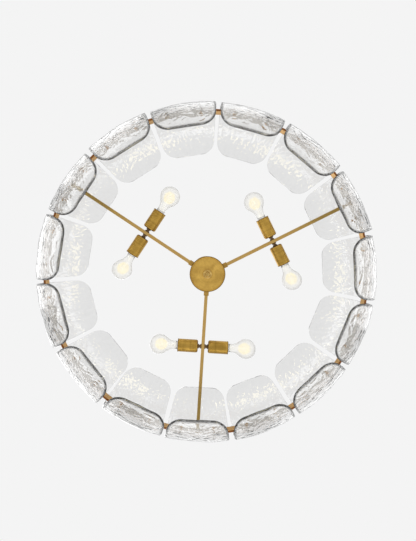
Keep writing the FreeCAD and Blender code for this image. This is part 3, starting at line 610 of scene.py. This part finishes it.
# %% Faces of a panel
RIM_OUTSIDE = (0.0040, 0.0015)
RIM_INSIDE = (0.0014, 0.0015)
RIM_LEVEL = -0.3
SWEEP_SPREAD = 0.008
SWELL = 0.0007
SWELL_WAVES = (10, 0.05, 0.14, 1.6)
FLOW = 0.009
FLOW_WAVES = (8, 0.05, 0.11, 1.0)
STREAK = 0.00017
STREAK_WAVES = (48, 0.026, 0.090, 0.34)
PETAL_RIPPLE = 0.00036
PETAL_WAVES = (48, 0.009, 0.020, 1.2)
FACE_SHIFT = 0.5


def panel_points(seed):
    """Closed grid of a panel on the X axis, and its grain.

    A face lies at the distance `out` from the bend's centre: the sheet's middle, a part of the
    thickness that grows from the rim's level to half of it, ripples and a slow swell. Each set of
    waves has a seed of its own.
    """
    rng = np.random.default_rng(seed)
    up, theta, phi, x, y, inset = bent_sheet(seed, 1 + SWEEP_SPREAD * rng.normal())
    swell = SWELL * ripples(x, y, seed + 2, *SWELL_WAVES)
    flow = y + FLOW * ripples(x, y, seed + 7, *FLOW_WAVES)
    high = petal_share(up)
    faces = []
    for side, rim, shift in ((0.5, RIM_OUTSIDE, 3), (-0.5, RIM_INSIDE, 4)):
        fullness = np.sqrt(1 - np.clip(1 - inset / np.where(up < 0, *rim), 0, 1) ** 2)
        low_fine = STREAK * ripples(x, flow, seed + shift, *STREAK_WAVES)
        high_fine = PETAL_RIPPLE * ripples(x, y, seed + shift + 2, *PETAL_WAVES)
        fine = low_fine * (1 - high) + high_fine * high
        depth = GLASS_T * (RIM_LEVEL + (side - RIM_LEVEL) * fullness)
        out = SHEET_R + depth + fine * fullness + swell
        r = BEND_CENTRE_R + out * np.cos(theta)
        faces.append(np.stack([r * np.cos(phi), r * np.sin(phi), out * np.sin(theta)], axis=-1))
    dark = rim_darkness(up, inset)
    marks = [np.stack([y + face, x, dark], axis=-1) for face in (0, FACE_SHIFT)]
    turn = small_turn(*np.radians(rng.normal(size=3) * LEAN_SPREAD))
    pivot = np.array([BEND_CENTRE_R + SHEET_R, 0, 0])
    return (closed_shell(*faces) - pivot) @ turn.T + pivot, closed_shell(*marks)


print("streak height", STREAK, "petal ripple height", PETAL_RIPPLE)

# %% [markdown]
# The glass is clear, with painted shade on its rim and petal: its colour runs from clear to grey by the
# darkness in the grain and a fine mottle. Its volume takes away more light the longer the way through
# it. Dimples that are too small for the grid are a bump. The roughness stays close to nothing: ripples,
# not a haze, break up what lies behind the real panels.

# %% Rippled glass
GLASS_CLEAR = (0.950, 0.950, 0.947)
GLASS_GREY = (0.13, 0.13, 0.128)
GLASS_BODY = (0.50, 0.50, 0.49)
MOTTLE = 0.05


def rippled_glass():
    """Cast glass: clear to grey by darkness + mottle share times streaks, with dimples."""
    material, tree, shader = new_material("rippled glass")
    place = grain_of(tree)
    mottle = streak_mask(tree, place, Lines_=80.0, Stretch_=2.0)
    shade = maths(tree, "MULTIPLY_ADD", mottle, MOTTLE, number_of(tree, place, "Z"))
    dimples = add(tree, "ShaderNodeTexNoise", Vector_=place, Scale_=130.0, Detail_=0.8)
    raised = add(tree, "ShaderNodeBump", Height_=dimples.outputs["Fac"], Strength_=1.0, Distance_=0.0005)
    feed(shader, Transmission_Weight=1.0, IOR=1.5, Base_Color=mixed(tree, shade, GLASS_CLEAR, GLASS_GREY),
         Roughness=ranged(tree, cloud_mask(tree, size=60.0), end=(0.0, 0.01)),
         Normal=raised.outputs["Normal"])
    body = add(tree, "ShaderNodeVolumeAbsorption", Color_=GLASS_BODY, Density_=2.0)
    feed(tree.nodes["Material Output"], Volume=body.outputs[0])
    return material


panel_glass = rippled_glass()
print("nodes of the glass", len(panel_glass.node_tree.nodes))

# %% [markdown]
# The panels stand round the band in even steps, the first one at the front. All could be copies of
# one panel, but then the eye would find the same ripple fifteen times. So each has its own seed, and
# its grain is moved along by its number, which gives it dimples of its own.

# %% Build the glass panels
FIRST_SEED = 410
SEED_STEP = 10
FRONT = -np.pi / 2

glass_only = bpy.data.collections.new("glass that catches the bulbs")
for number, name in enumerate(PANELS):
    around = np.array(Matrix.Rotation(FRONT + 2 * np.pi * number / len(PANELS), 3, "Z"))
    points, marks = panel_points(FIRST_SEED + SEED_STEP * number)
    points = points @ around.T + (0, 0, RING_Z)
    panel = surface(name.replace("glass_panel", "rippled_panel"), points, marks + (number, 0, 0))
    settle(panel, "fixture", "rippled_glass", panel_glass, name)
    glass_only.objects.link(panel)
print("panels", len(PANELS), "faces each", len(panel.data.polygons))

# %% [markdown]
# The band is a flat bar rolled to a ring, and the arms are rectangular tube. Both are outlines with
# eased corners carried along a path: once round the axis for the band, and straight out for an arm.
# A curve with a bevel object could do the same, but it would not say where along the arm a point is,
# which the painted shade towards the band needs.

# %% Ring band and arms
BAND_T = 0.006
ARM_W = 0.010
ARM_H = 0.020
ARM_EASE = 0.0014
ARM_GAP = 0.0001
ARM_ROOT_R = 0.040
ARM_END_R = BAND_R - BAND_T - ARM_GAP


def carried(name, outline, start, end, direction):
    """Closed bar: an outline (across, up) carried from start to end along a level direction.

    Its first and last outline shrink to a point, which closes the ends. One more outline beside each
    end keeps the long faces flat when the shading is smooth. Its grain is (along, across, up).
    """
    along = np.array([direction[0], direction[1], 0.0])
    beside = np.array([-direction[1], direction[0], 0.0])
    upright = np.array([0, 0, 1.0])
    scale = np.array([0, 1, 1, 1, 1, 0])[:, None, None]
    station = np.array([start, start, start + ARM_EASE, end - ARM_EASE, end, end])[:, None, None]
    shape = outline[None] * scale
    points = station * along + shape[..., :1] * beside + shape[..., 1:] * upright + (0, 0, RING_Z)
    length = np.broadcast_to(station[..., 0], shape.shape[:2])
    grain = np.stack([length, shape[..., 0], shape[..., 1]], axis=-1)
    return surface(name, points, grain)


band_outline = bar_outline(BAND_R - BAND_T, BAND_R, -BAND_H / 2, BAND_H / 2, BAND_EASE)
band = turned("rolled_band", band_outline, origin=(0, 0, RING_Z), steps=240)
settle(band, "fixture", "satin_brass", band_brass, "ring_band")
arm_outline = bar_outline(-ARM_W / 2, ARM_W / 2, -ARM_H / 2, ARM_H / 2, ARM_EASE)
for name in ARMS:
    low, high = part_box(name)
    way = (low + high) / 2
    way = Vector((way.x, way.y)).normalized()
    bar = carried("drawn_%s" % name, arm_outline, ARM_ROOT_R, ARM_END_R, way)
    settle(bar, "fixture", "satin_brass", arm_brass, name)
    print(name, "points to", [round(x, 2) for x in way])

# %% [markdown]
# The hub's cover is a turned plate with a rounded rim. A shallow groove inside the rim shows as a fine
# dark ring. The finial in the middle has a rounded foot and a small domed knob, in a lighter brass than
# the cover. Cylinders could be stacked, but a groove and a waist are easier to write as corners of a
# profile.

# %% Hub cover and finial
FINE_EASE = 0.0003
COVER_Z = hub_low.z
COVER_TOP_Z = hub_high.z
COVER_BORE_R = 0.006
COVER_EASE = 0.0022
LIP_R = 0.0507
LIP_T = 0.002
BRIM_Z = COVER_TOP_Z - 0.003
GROOVE_R = HUB_R - 0.0055
GROOVE_W = 0.0011
GROOVE_D = 0.0007
GROOVE_EASE = 0.0004
cover_profile = lathe_profile(
    (COVER_BORE_R, BRIM_Z, 0),
    (LIP_R - LIP_T, BRIM_Z, FINE_EASE),
    (LIP_R - LIP_T, COVER_TOP_Z, FINE_EASE),
    (LIP_R, COVER_TOP_Z, FINE_EASE),
    (LIP_R, BRIM_Z, FINE_EASE),
    (HUB_R, BRIM_Z, FINE_EASE),
    (HUB_R, COVER_Z, COVER_EASE),
    (GROOVE_R + GROOVE_W, COVER_Z, GROOVE_EASE),
    (GROOVE_R + GROOVE_W / 2, COVER_Z + GROOVE_D, FINE_EASE),
    (GROOVE_R, COVER_Z, GROOVE_EASE),
    (COVER_BORE_R, COVER_Z, FINE_EASE),
    (COVER_BORE_R, BRIM_Z, 0))
settle(turned("turned_cover", cover_profile, steps=128), "fixture", "satin_brass", hub_brass, "hub_cover")

finial_low, finial_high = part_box("finial")
FOOT_R = finial_high.x
FOOT_Z = finial_high.z - 0.006
KNOB_R = 0.0075
WAIST_H = 0.0022
WAIST_R = KNOB_R - 0.0008
WAIST_TOP_R = KNOB_R + 0.0012
finial_profile = lathe_profile(
    (0, finial_high.z, 0),
    (FOOT_R, finial_high.z, 0.0005),
    (FOOT_R, FOOT_Z, 0.003),
    (WAIST_TOP_R, FOOT_Z, 0.0006),
    (WAIST_R, FOOT_Z - WAIST_H, 0.0008),
    (KNOB_R, finial_low.z, 0.0035),
    (0, finial_low.z, 0))
finial = turned("turned_finial", finial_profile, steps=72)
settle(finial, "fixture", "satin_brass", finial_brass, "finial")
print("cover radius %.4f, finial foot radius %.4f" % (HUB_R, FOOT_R))

# %% [markdown]
# Each lampholder hides in a spun brass cup, laid square to its arm. Its base is rounded by the former,
# and its mouth is rolled to a thin bead. Both ends are painted darker as shade. A bulb's own slide in the
# record says which way its cup points. The bulb's box tells on which side of the hub the arm lies, and
# the pair is fixed at the same distance along every arm.

# %% Lampholder cups
SOCKET_R = 0.225
CUP_BASE = 0.0155
CUP_L = 0.062
CUP_MOUTH = CUP_BASE + CUP_L
CUP_R = 0.0195
CUP_T = 0.0012
CUP_BORE_R = 0.0051
BEAD = 0.0006
BEAD_L = 0.0018
BEAD_START = 0.0024
cup_profile = lathe_profile(
    (CUP_BORE_R, CUP_BASE, 0),
    (CUP_R, CUP_BASE, 0.006),
    (CUP_R, CUP_MOUTH - BEAD_START, FINE_EASE),
    (CUP_R + BEAD, CUP_MOUTH - BEAD_L, FINE_EASE),
    (CUP_R + BEAD, CUP_MOUTH, 0.0005),
    (CUP_R - CUP_T, CUP_MOUTH, 0.0004),
    (CUP_R - CUP_T, CUP_BASE + CUP_T, 0.004),
    (CUP_BORE_R, CUP_BASE + CUP_T, FINE_EASE),
    (CUP_BORE_R, CUP_BASE, 0))
# Painted shade: both ends of each cup are darker.
darken_edges(cup_brass, (0.16, 0.08, 0.02), half=CUP_L / 2, width=0.0026, middle=CUP_BASE + CUP_L / 2)


def bulb_axis(body):
    """Point on the arm and direction of a bulb's axis."""
    slide = next(joint for joint in frame["joints"] if joint["child"] == body)
    way = Vector(slide["axis"]).normalized()
    low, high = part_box(body)
    middle = (low + high) / 2
    aside = middle - way * middle.dot(way)
    outward = Vector((aside.x, aside.y, 0)).normalized()
    return outward * SOCKET_R + Vector((0, 0, RING_Z)), way


for body in BULBS:
    origin, way = bulb_axis(body)
    cup = turned(body.replace("bulb", "spun_cup"), cup_profile, origin, way, steps=72)
    settle(cup, "fixture", "satin_brass", cup_brass, "socket_cups")
    print(cup.name, "points to", [round(x, 2) for x in way])

# %% [markdown]
# A lit bulb has four pieces here: a globe, a screw cap, filaments and a mount. The globe is a thin
# shell, clear outside and lightly etched inside, so that what glows in it looks soft. The first
# number of its grain tells the two faces apart. Lamps could stand for the filaments, but the camera
# would not see their shape, so the filaments glow by themselves, a little unevenly. The mount's glow
# is painted light, for the filaments' light that falls on it.

# %% Bulb finishes
def etched_glass():
    """Thin bulb glass: its roughness is an uneven etch times the face, 0 outside and 1 inside."""
    material, tree, shader = new_material("bulb glass")
    etch = ranged(tree, cloud_mask(tree, size=40.0), end=(0.52, 0.62))
    inside = number_of(tree, grain_of(tree), "X")
    feed(shader, Base_Color=(1.0, 0.995, 0.98), Transmission_Weight=1.0, IOR=1.20,
         Roughness=maths(tree, "MULTIPLY", etch, inside))
    return material


def lit(name, colour, glow, light, dark):
    """Material that glows, a little unevenly, between a light and a dark colour."""
    material, tree, shader = new_material(name)
    feed(shader, Base_Color=colour, Roughness=0.5, Emission_Strength=glow,
         Emission_Color=mixed(tree, cloud_mask(tree, size=300.0), light, dark))
    return material


globe_glass = etched_glass()
filament_glow = lit("lit filament", (0.30, 0.26, 0.18), 0.82, (1.0, 0.95, 0.73), (1.0, 0.90, 0.61))
# Painted light: the glass mount glows for the filaments' light in it.
mount_painted_glow = lit("lit mount", (0.9, 0.9, 0.88), 0.4, (1.0, 0.98, 0.94), (0.94, 0.92, 0.87))
cap_metal = finish("bulb cap metal", (0.90, 0.89, 0.86), (0.74, 0.73, 0.70), lines=1500.0)
print("materials with those of the bulbs", len(bpy.data.materials))

# %% [markdown]
# A globe is blown into a mould: a straight neck, a smooth flare and a round head. Its profile is
# worked out once for the outside and once, a wall's thickness smaller, for the inside. A ball and a
# tube could be joined instead, but the flare between them is what makes it look like a bulb.

# %% Globe
CAP_TOP = 0.0796
NECK_R = 0.0123
GLOBE_R = 0.030
GLOBE_L = 0.084
GLOBE_NECK = 0.009
GLOBE_WALL = 0.0006
HEAD_START = np.radians(38)
HEAD_HANDLE = 0.013
NECK_HANDLE = 0.009
HEAD_STEPS = 40
NECK_STEPS = 16


def globe_profile(inset):
    """Bulb outline from the cap to the tip.

    The flare is the curve (1-t)^3 A + 3t(1-t)^2 B + 3t^2(1-t) C + t^3 D. It leaves the neck at A
    towards B and meets the head at D from C, so neither end shows a kink.
    """
    head = GLOBE_R - inset
    neck = NECK_R - inset
    centre = CAP_TOP + GLOBE_L - GLOBE_R
    angle = np.linspace(-HEAD_START, np.pi / 2, HEAD_STEPS)
    head_line = np.stack([head * np.cos(angle), centre + head * np.sin(angle)], axis=-1)
    a = np.array([neck, CAP_TOP + GLOBE_NECK])
    b = a + (0, NECK_HANDLE)
    d = head_line[0]
    c = d - HEAD_HANDLE * np.array([np.sin(HEAD_START), np.cos(HEAD_START)])
    t = np.linspace(0, 1, NECK_STEPS)[:-1, None]
    flare = (1 - t) ** 3 * a + 3 * t * (1 - t) ** 2 * b + 3 * t ** 2 * (1 - t) * c + t ** 3 * d
    return np.concatenate([[(neck, CAP_TOP)], flare, head_line])


outer, inner = globe_profile(0.0), globe_profile(GLOBE_WALL)
shell_profile = closed_shell(outer, inner)
etched_face = closed_shell(0 * outer[:, 0], 1 + 0 * inner[:, 0])
print("globe profile has", len(shell_profile), "points")

# %% [markdown]
# The cap is thin sheet with a rolled thread. A Screw modifier could make it, but a radius that is a
# wave and climbs one pitch per turn is a real helix too, and it can fade out at both ends.

# %% Screw cap
CAP_TIP = 0.0535
CAP_CONE = 0.0045
CAP_STEPS = 72
CAP_ROWS = 60
TIP_PROFILE = ((0, 0), (0.0042, 0), (0.0048, 0.001), (0.0060, 0.001))
THREAD_DEPTH = 0.0008
THREAD_PITCH = 0.0036


def screw_cap(name, origin, way):
    """Screw cap: radius = root + depth (1 + cos(2 pi h / pitch - turn)) / 2 along the thread."""
    turn = np.linspace(0, 2 * np.pi, CAP_STEPS + 1)[None]
    height = np.linspace(CAP_TIP + CAP_CONE, CAP_TOP, CAP_ROWS)[:, None]
    fade = np.clip(np.minimum(height - height[0], height[-1] - height) / THREAD_PITCH, 0, 1)
    wave = (1 + np.cos(2 * np.pi * height / THREAD_PITCH - turn)) / 2
    thread = NECK_R + THREAD_DEPTH * fade * wave
    tip = np.array(TIP_PROFILE) + (0, CAP_TIP)
    radius = np.concatenate([tip[:, :1] + 0 * turn, thread, 0 * turn])
    level = np.concatenate([tip[:, 1:], height, height[-1:]]) + 0 * turn
    return round_axis(name, radius, level, origin, way, 0.0)


print("turns of thread", round((CAP_TOP - CAP_TIP - CAP_CONE) / THREAD_PITCH, 1))

# %% [markdown]
# Fourteen lit sticks bow out from the mount and back, like the staves of a cage. A bent curve with a
# bevel would do, but a tube whose own radius falls to nothing closes both ends by itself.

# %% Filaments
FILAMENTS = 14
FILAMENT_L = 0.036
FILAMENT_R = 0.0011
FILAMENT_ROWS = 25
FILAMENT_SIDES = 10
CAGE_R = 0.0152
CAGE_NECK_R = 0.0060
MOUNT_TOP = CAP_TOP + 0.031


def filament_cage(name, origin, way):
    """Lit sticks round the bulb's axis.

    At a share s of the length the stick lies neck + (cage - neck) sin(pi s) from the axis, and its
    own radius is the stick's times the root of 1 - (2s - 1)^6, so both ends close.
    """
    angle = np.linspace(0, 2 * np.pi, FILAMENTS, endpoint=False)[:, None, None, None]
    s = np.linspace(0, 1, FILAMENT_ROWS)[:, None, None]
    turn = np.linspace(0, 2 * np.pi, FILAMENT_SIDES + 1)[:, None]
    along = np.asarray(way, float)
    upright = np.array([0, 0, 1.0])
    beside = np.cross(along, upright)
    out = np.cos(angle) * upright + np.sin(angle) * beside
    aside = np.cos(angle) * beside - np.sin(angle) * upright
    middle = np.asarray(origin) + along * (MOUNT_TOP + s * FILAMENT_L)
    bow = CAGE_NECK_R + (CAGE_R - CAGE_NECK_R) * np.sin(np.pi * s)
    thick = FILAMENT_R * np.sqrt(1 - (2 * s - 1) ** 6)
    return surface(name, middle + bow * out + thick * (np.cos(turn) * out + np.sin(turn) * aside))


print("sticks in a bulb", FILAMENTS)

# %% [markdown]
# The mount below the sticks is glass too: a flare that fills the neck at the cap and narrows to a stem,
# with a centre wire on top. It is turned, like the globe, so one profile is enough.

# %% Mount
MOUNT_BASE = CAP_TOP + 0.0002
FLARE_R = 0.0113
FLARE_H = 0.0030
STEM_R = 0.004
STEM_START = 0.012
WIRE_R = 0.0006
WIRE_START = 0.002
mount_profile = lathe_profile(
    (0, MOUNT_BASE, 0),
    (FLARE_R, MOUNT_BASE, FINE_EASE),
    (FLARE_R, CAP_TOP + FLARE_H, 0.001),
    (STEM_R, CAP_TOP + STEM_START, 0.004),
    (STEM_R, MOUNT_TOP, 0.001),
    (WIRE_R, MOUNT_TOP + WIRE_START, 0.0008),
    (WIRE_R, MOUNT_TOP + FILAMENT_L, 0.0002),
    (0, MOUNT_TOP + FILAMENT_L, 0))
print("mount profile has", len(mount_profile), "points")

# %% [markdown]
# The six bulbs are alike, so one loop makes them. Each bulb rides on its own body, because it comes
# out of its lampholder by itself. Its four pieces together stand for the bulb's one node.

# %% Put the bulbs together
for body in BULBS:
    origin, way = bulb_axis(body)
    globe = turned("%s_globe" % body, shell_profile, origin, way, steps=72, mark=etched_face)
    settle(globe, body, "bulb_glass", globe_glass, body)
    settle(screw_cap("%s_cap" % body, origin, way), body, "plated_steel", cap_metal, body)
    settle(filament_cage("%s_filaments" % body, origin, way), body, "bulb_glass", filament_glow, body)
    mount = turned("%s_mount" % body, mount_profile, origin, way, steps=48)
    settle(mount, body, "bulb_glass", mount_painted_glow, body)
print("bulbs made", len(BULBS))

# %% [markdown]
# The rest of the nodes keep their solids, which already have the right shape: the canopy, the
# swivel, the stem, the hub's body, the fixings of the glass and the parts in the lampholders. They
# could be modelled again, but little of them is seen. Each gets the finish of its own slot: a light and
# a dark tone, how metallic, how rough and how fine its cloud is. The arms' collars are a darker brass.

# %% Finishes of the carried-over nodes
SOLID_FINISHES = (
    ("plated_steel", "zinc plated steel", (0.62, 0.63, 0.64), (0.42, 0.43, 0.45), 1.0, (0.3, 0.5), 60.0),
    ("dark_bronze", "dark bronze", (0.20, 0.13, 0.07), (0.09, 0.055, 0.03), 1.0, (0.32, 0.5), 14.0),
    ("green_screw", "green lacquered screw", (0.04, 0.30, 0.10), (0.02, 0.16, 0.05), 0.6, (0.28, 0.42),
     80.0),
    ("clear_silicone", "clear silicone", (0.86, 0.87, 0.86), (0.70, 0.71, 0.70), 0.0, (0.35, 0.5), 90.0),
    ("holder_plastic", "lampholder plastic", (0.055, 0.050, 0.045), (0.025, 0.023, 0.021), 0.0,
     (0.4, 0.55), 80.0),
    ("contact_brass", "contact brass", (0.80, 0.62, 0.28), (0.60, 0.44, 0.16), 1.0, (0.28, 0.42), 14.0),
    ("lead_insulation", "lead insulation", (0.80, 0.78, 0.72), (0.66, 0.63, 0.57), 0.0, (0.4, 0.55),
     90.0),
    ("connector_plastic", "connector plastic", (0.75, 0.30, 0.08), (0.55, 0.20, 0.05), 0.0, (0.3, 0.45),
     90.0),
)
slot_finish = {"satin_brass": plain_brass}
for slot, name, light, dark, metal, rough, size in SOLID_FINISHES:
    slot_finish[slot] = finish(name, light, dark, metal, rough, cloud_size=size, has_grain=False)
slot_of = {row["node"]: row["material_slot"] for row in frame["record"]["subparts"]}
dressed = 0
for name, node in nodes.items():
    chosen = slot_finish.get(slot_of[name])
    if chosen is None or node.hide_render:
        continue
    for place in node.material_slots:
        place.material = collar_brass if name == "arm_collars" else chosen
    dressed += 1
print("carried-over nodes dressed", dressed)

# %% [markdown]
# The studio has a plain, pale floor well below the drum. It would show a horizon from the side, so for
# the camera and through glass it is lifted to the surround's tone. In metal it mirrors darker near the
# axis, a painted shade where a photographer would stand, so round brass keeps its dark parts. A backdrop
# that curves up could hide the horizon too, but it would stand in the way of the other views.

# %% Floor
FLOOR_Z = RING_Z - 1.85
FLOOR_R = 30.0
FLOOR_LIFT = 0.7
FLOOR_PALE = (0.99, 0.99, 0.99)
MIRROR_REACH = (0.6, 2.6)
MIRROR_TONES = (0.60, 0.95)


def seen_straight(tree):
    """1 for rays from the camera and for rays that came through glass, 0 for all others."""
    path = add(tree, "ShaderNodeLightPath").outputs
    return maths(tree, "MAXIMUM", path["Is Camera Ray"], path["Is Transmission Ray"])


def floor_material():
    """Matt floor, lifted where it is seen; in metal, painted shade that lightens away from the axis."""
    material, tree, matt = new_material("pale floor")
    tone = mixed(tree, cloud_mask(tree, size=1.2), (0.80, 0.80, 0.79), (0.78, 0.78, 0.77))
    feed(matt, Roughness=0.9, Base_Color=tone)
    pale = add(tree, "ShaderNodeEmission", Color_=FLOOR_PALE)
    share = maths(tree, "MULTIPLY", seen_straight(tree), FLOOR_LIFT)
    lifted = add(tree, "ShaderNodeMixShader", share, matt.outputs[0], pale.outputs[0])
    place = add(tree, "ShaderNodeTexCoord").outputs["Object"]
    flat = add(tree, "ShaderNodeVectorMath", place, (1, 1, 0), operation="MULTIPLY").outputs[0]
    away = add(tree, "ShaderNodeVectorMath", flat, operation="LENGTH").outputs["Value"]
    # Painted shade: in metal the floor mirrors darker near the axis.
    dim = add(tree, "ShaderNodeEmission", Color_=ranged(tree, away, MIRROR_REACH, MIRROR_TONES))
    glossy = add(tree, "ShaderNodeLightPath").outputs["Is Glossy Ray"]
    mirrored = add(tree, "ShaderNodeMixShader", glossy, lifted.outputs[0], dim.outputs[0])
    feed(tree.nodes["Material Output"], Surface=mirrored.outputs[0])
    return material


floor_line = np.array([(0.0, FLOOR_Z), (1.0, FLOOR_Z), (FLOOR_R, FLOOR_Z)])
floor = turned("floor", floor_line, steps=64)
floor.data.materials.append(floor_material())
print("floor at", round(FLOOR_Z, 3))

# %% [markdown]
# A small warm lamp under each bulb puts its cream glints on the glass. The glowing filaments alone
# could do it, but such small lights make a noisy picture. Light linking lets these lamps light the
# glass and nothing else. They ride on the bulbs.

# %% Bulb lamps
BULB_LIGHT_COLOUR = (1.0, 0.88, 0.50)
BULB_LIGHT_DROP = 0.10
BULB_LIGHT_R = 0.050
BULB_LIGHT_RADIANCE = 4.6


def hang(lamp, place, receivers=None):
    """Object for a lamp, unseen by the camera and through glass; it lights only its receivers, if any."""
    holder = bpy.data.objects.new(lamp.name, lamp)
    bpy.context.collection.objects.link(holder)
    holder.location = place
    holder.visible_camera = False
    holder.visible_transmission = False
    if receivers is not None:
        holder.light_linking.receiver_collection = receivers
    return holder


def bulb_light(body):
    """Small warm lamp under a globe: its power is brightness times 4 pi^2 times its radius squared."""
    origin, way = bulb_axis(body)
    lamp = bpy.data.lights.new(body.replace("bulb_", "bulb light "), "POINT")
    lamp.color = BULB_LIGHT_COLOUR
    lamp.shadow_soft_size = BULB_LIGHT_R
    lamp.energy = BULB_LIGHT_RADIANCE * 4 * np.pi ** 2 * BULB_LIGHT_R ** 2
    globe = origin + way * (CAP_TOP + GLOBE_L - GLOBE_R)
    hang(lamp, globe - Vector((0, 0, BULB_LIGHT_DROP)), glass_only).parent = frame["bodies"][body]


for body in BULBS:
    bulb_light(body)
print("bulb lamps", len(bpy.data.lights))

# %% [markdown]
# Soft lamps stand below, above, in front and behind. The lower flaps are brighter on some sides than
# on others in the photograph, and a flap shows the lamps outside its own side. So two rows of lamps
# for the glass alone stand round the drum, one above and one below it, each with its own brightness.
# One large ring light would be simpler, but it would make all sides alike.

# %% Soft lamps
DRUM_MIDDLE = (0, 0, RING_Z)
STUDIO_LIGHTS = (
    ("light below", (0, 0, FLOOR_Z + 0.05), 2.6, 0.15),
    ("light above", (1.2, -1.4, 2.6), 2.2, 1.2),
    ("light front", (0, -2.2, RING_Z - 1.1), 1.2, 1.2),
    ("light back", (0, 2.4, RING_Z + 0.5), 1.2, 0.8),
)
SIDE_LIGHT_R = 2.3
SIDE_LIGHT_SIZE = 1.4
SIDE_LIGHT_RISES = (0.65, -0.80)
SIDE_LIGHTS = ((0, 2.6, 4.0), (45, 2.3, 3.0), (90, 1.0, 0.8), (135, 1.4, 1.8), (180, 1.8, 3.2),
               (225, 1.1, 2.2), (270, 0.9, 2.2), (315, 1.5, 3.0))


def soft_light(name, place, size, radiance, receivers=None):
    """Square lamp towards the drum: its power is brightness times pi times its area."""
    lamp = bpy.data.lights.new(name, "AREA")
    lamp.size = size
    lamp.energy = radiance * np.pi * size ** 2
    toward = Vector(DRUM_MIDDLE) - Vector(place)
    hang(lamp, place, receivers).rotation_euler = toward.to_track_quat("-Z", "Y").to_euler()


for light in STUDIO_LIGHTS:
    soft_light(*light)
for azimuth, *radiances in SIDE_LIGHTS:
    out = np.radians(azimuth)
    for rise, radiance in zip(SIDE_LIGHT_RISES, radiances):
        place = (SIDE_LIGHT_R * np.cos(out), SIDE_LIGHT_R * np.sin(out), RING_Z + rise)
        soft_light("side light %d %.1f" % (azimuth, rise), place, SIDE_LIGHT_SIZE, radiance, glass_only)
print("lamps", len(bpy.data.lights))

# %% [markdown]
# The surround is one pale tone to the camera and through glass. Metal mirrors a dimmer horizon under
# a pale top, as it does in any room, so round brass keeps its dark edges. A picture of a room could
# do it too, but two tones are enough here.

# %% Surround
PALE = 0.905
HORIZON = 0.55
HORIZON_RISE = (0.05, 0.8)


def surround():
    """World: pale to the camera and through glass, a dim horizon under a pale top to everything else."""
    world = bpy.data.worlds.new("surround")
    world.use_nodes = True
    tree = world.node_tree
    height = number_of(tree, add(tree, "ShaderNodeTexCoord").outputs["Generated"], "Z")
    rise = ranged(tree, height, HORIZON_RISE, (HORIZON, PALE))
    feed(tree.nodes["Background"], Color=mixed(tree, seen_straight(tree), rise, (PALE, PALE, PALE)))
    return world


bpy.context.scene.world = surround()
print("surround", PALE, "horizon", HORIZON)

# %% [markdown]

# %% Finish
print("scene dressed")
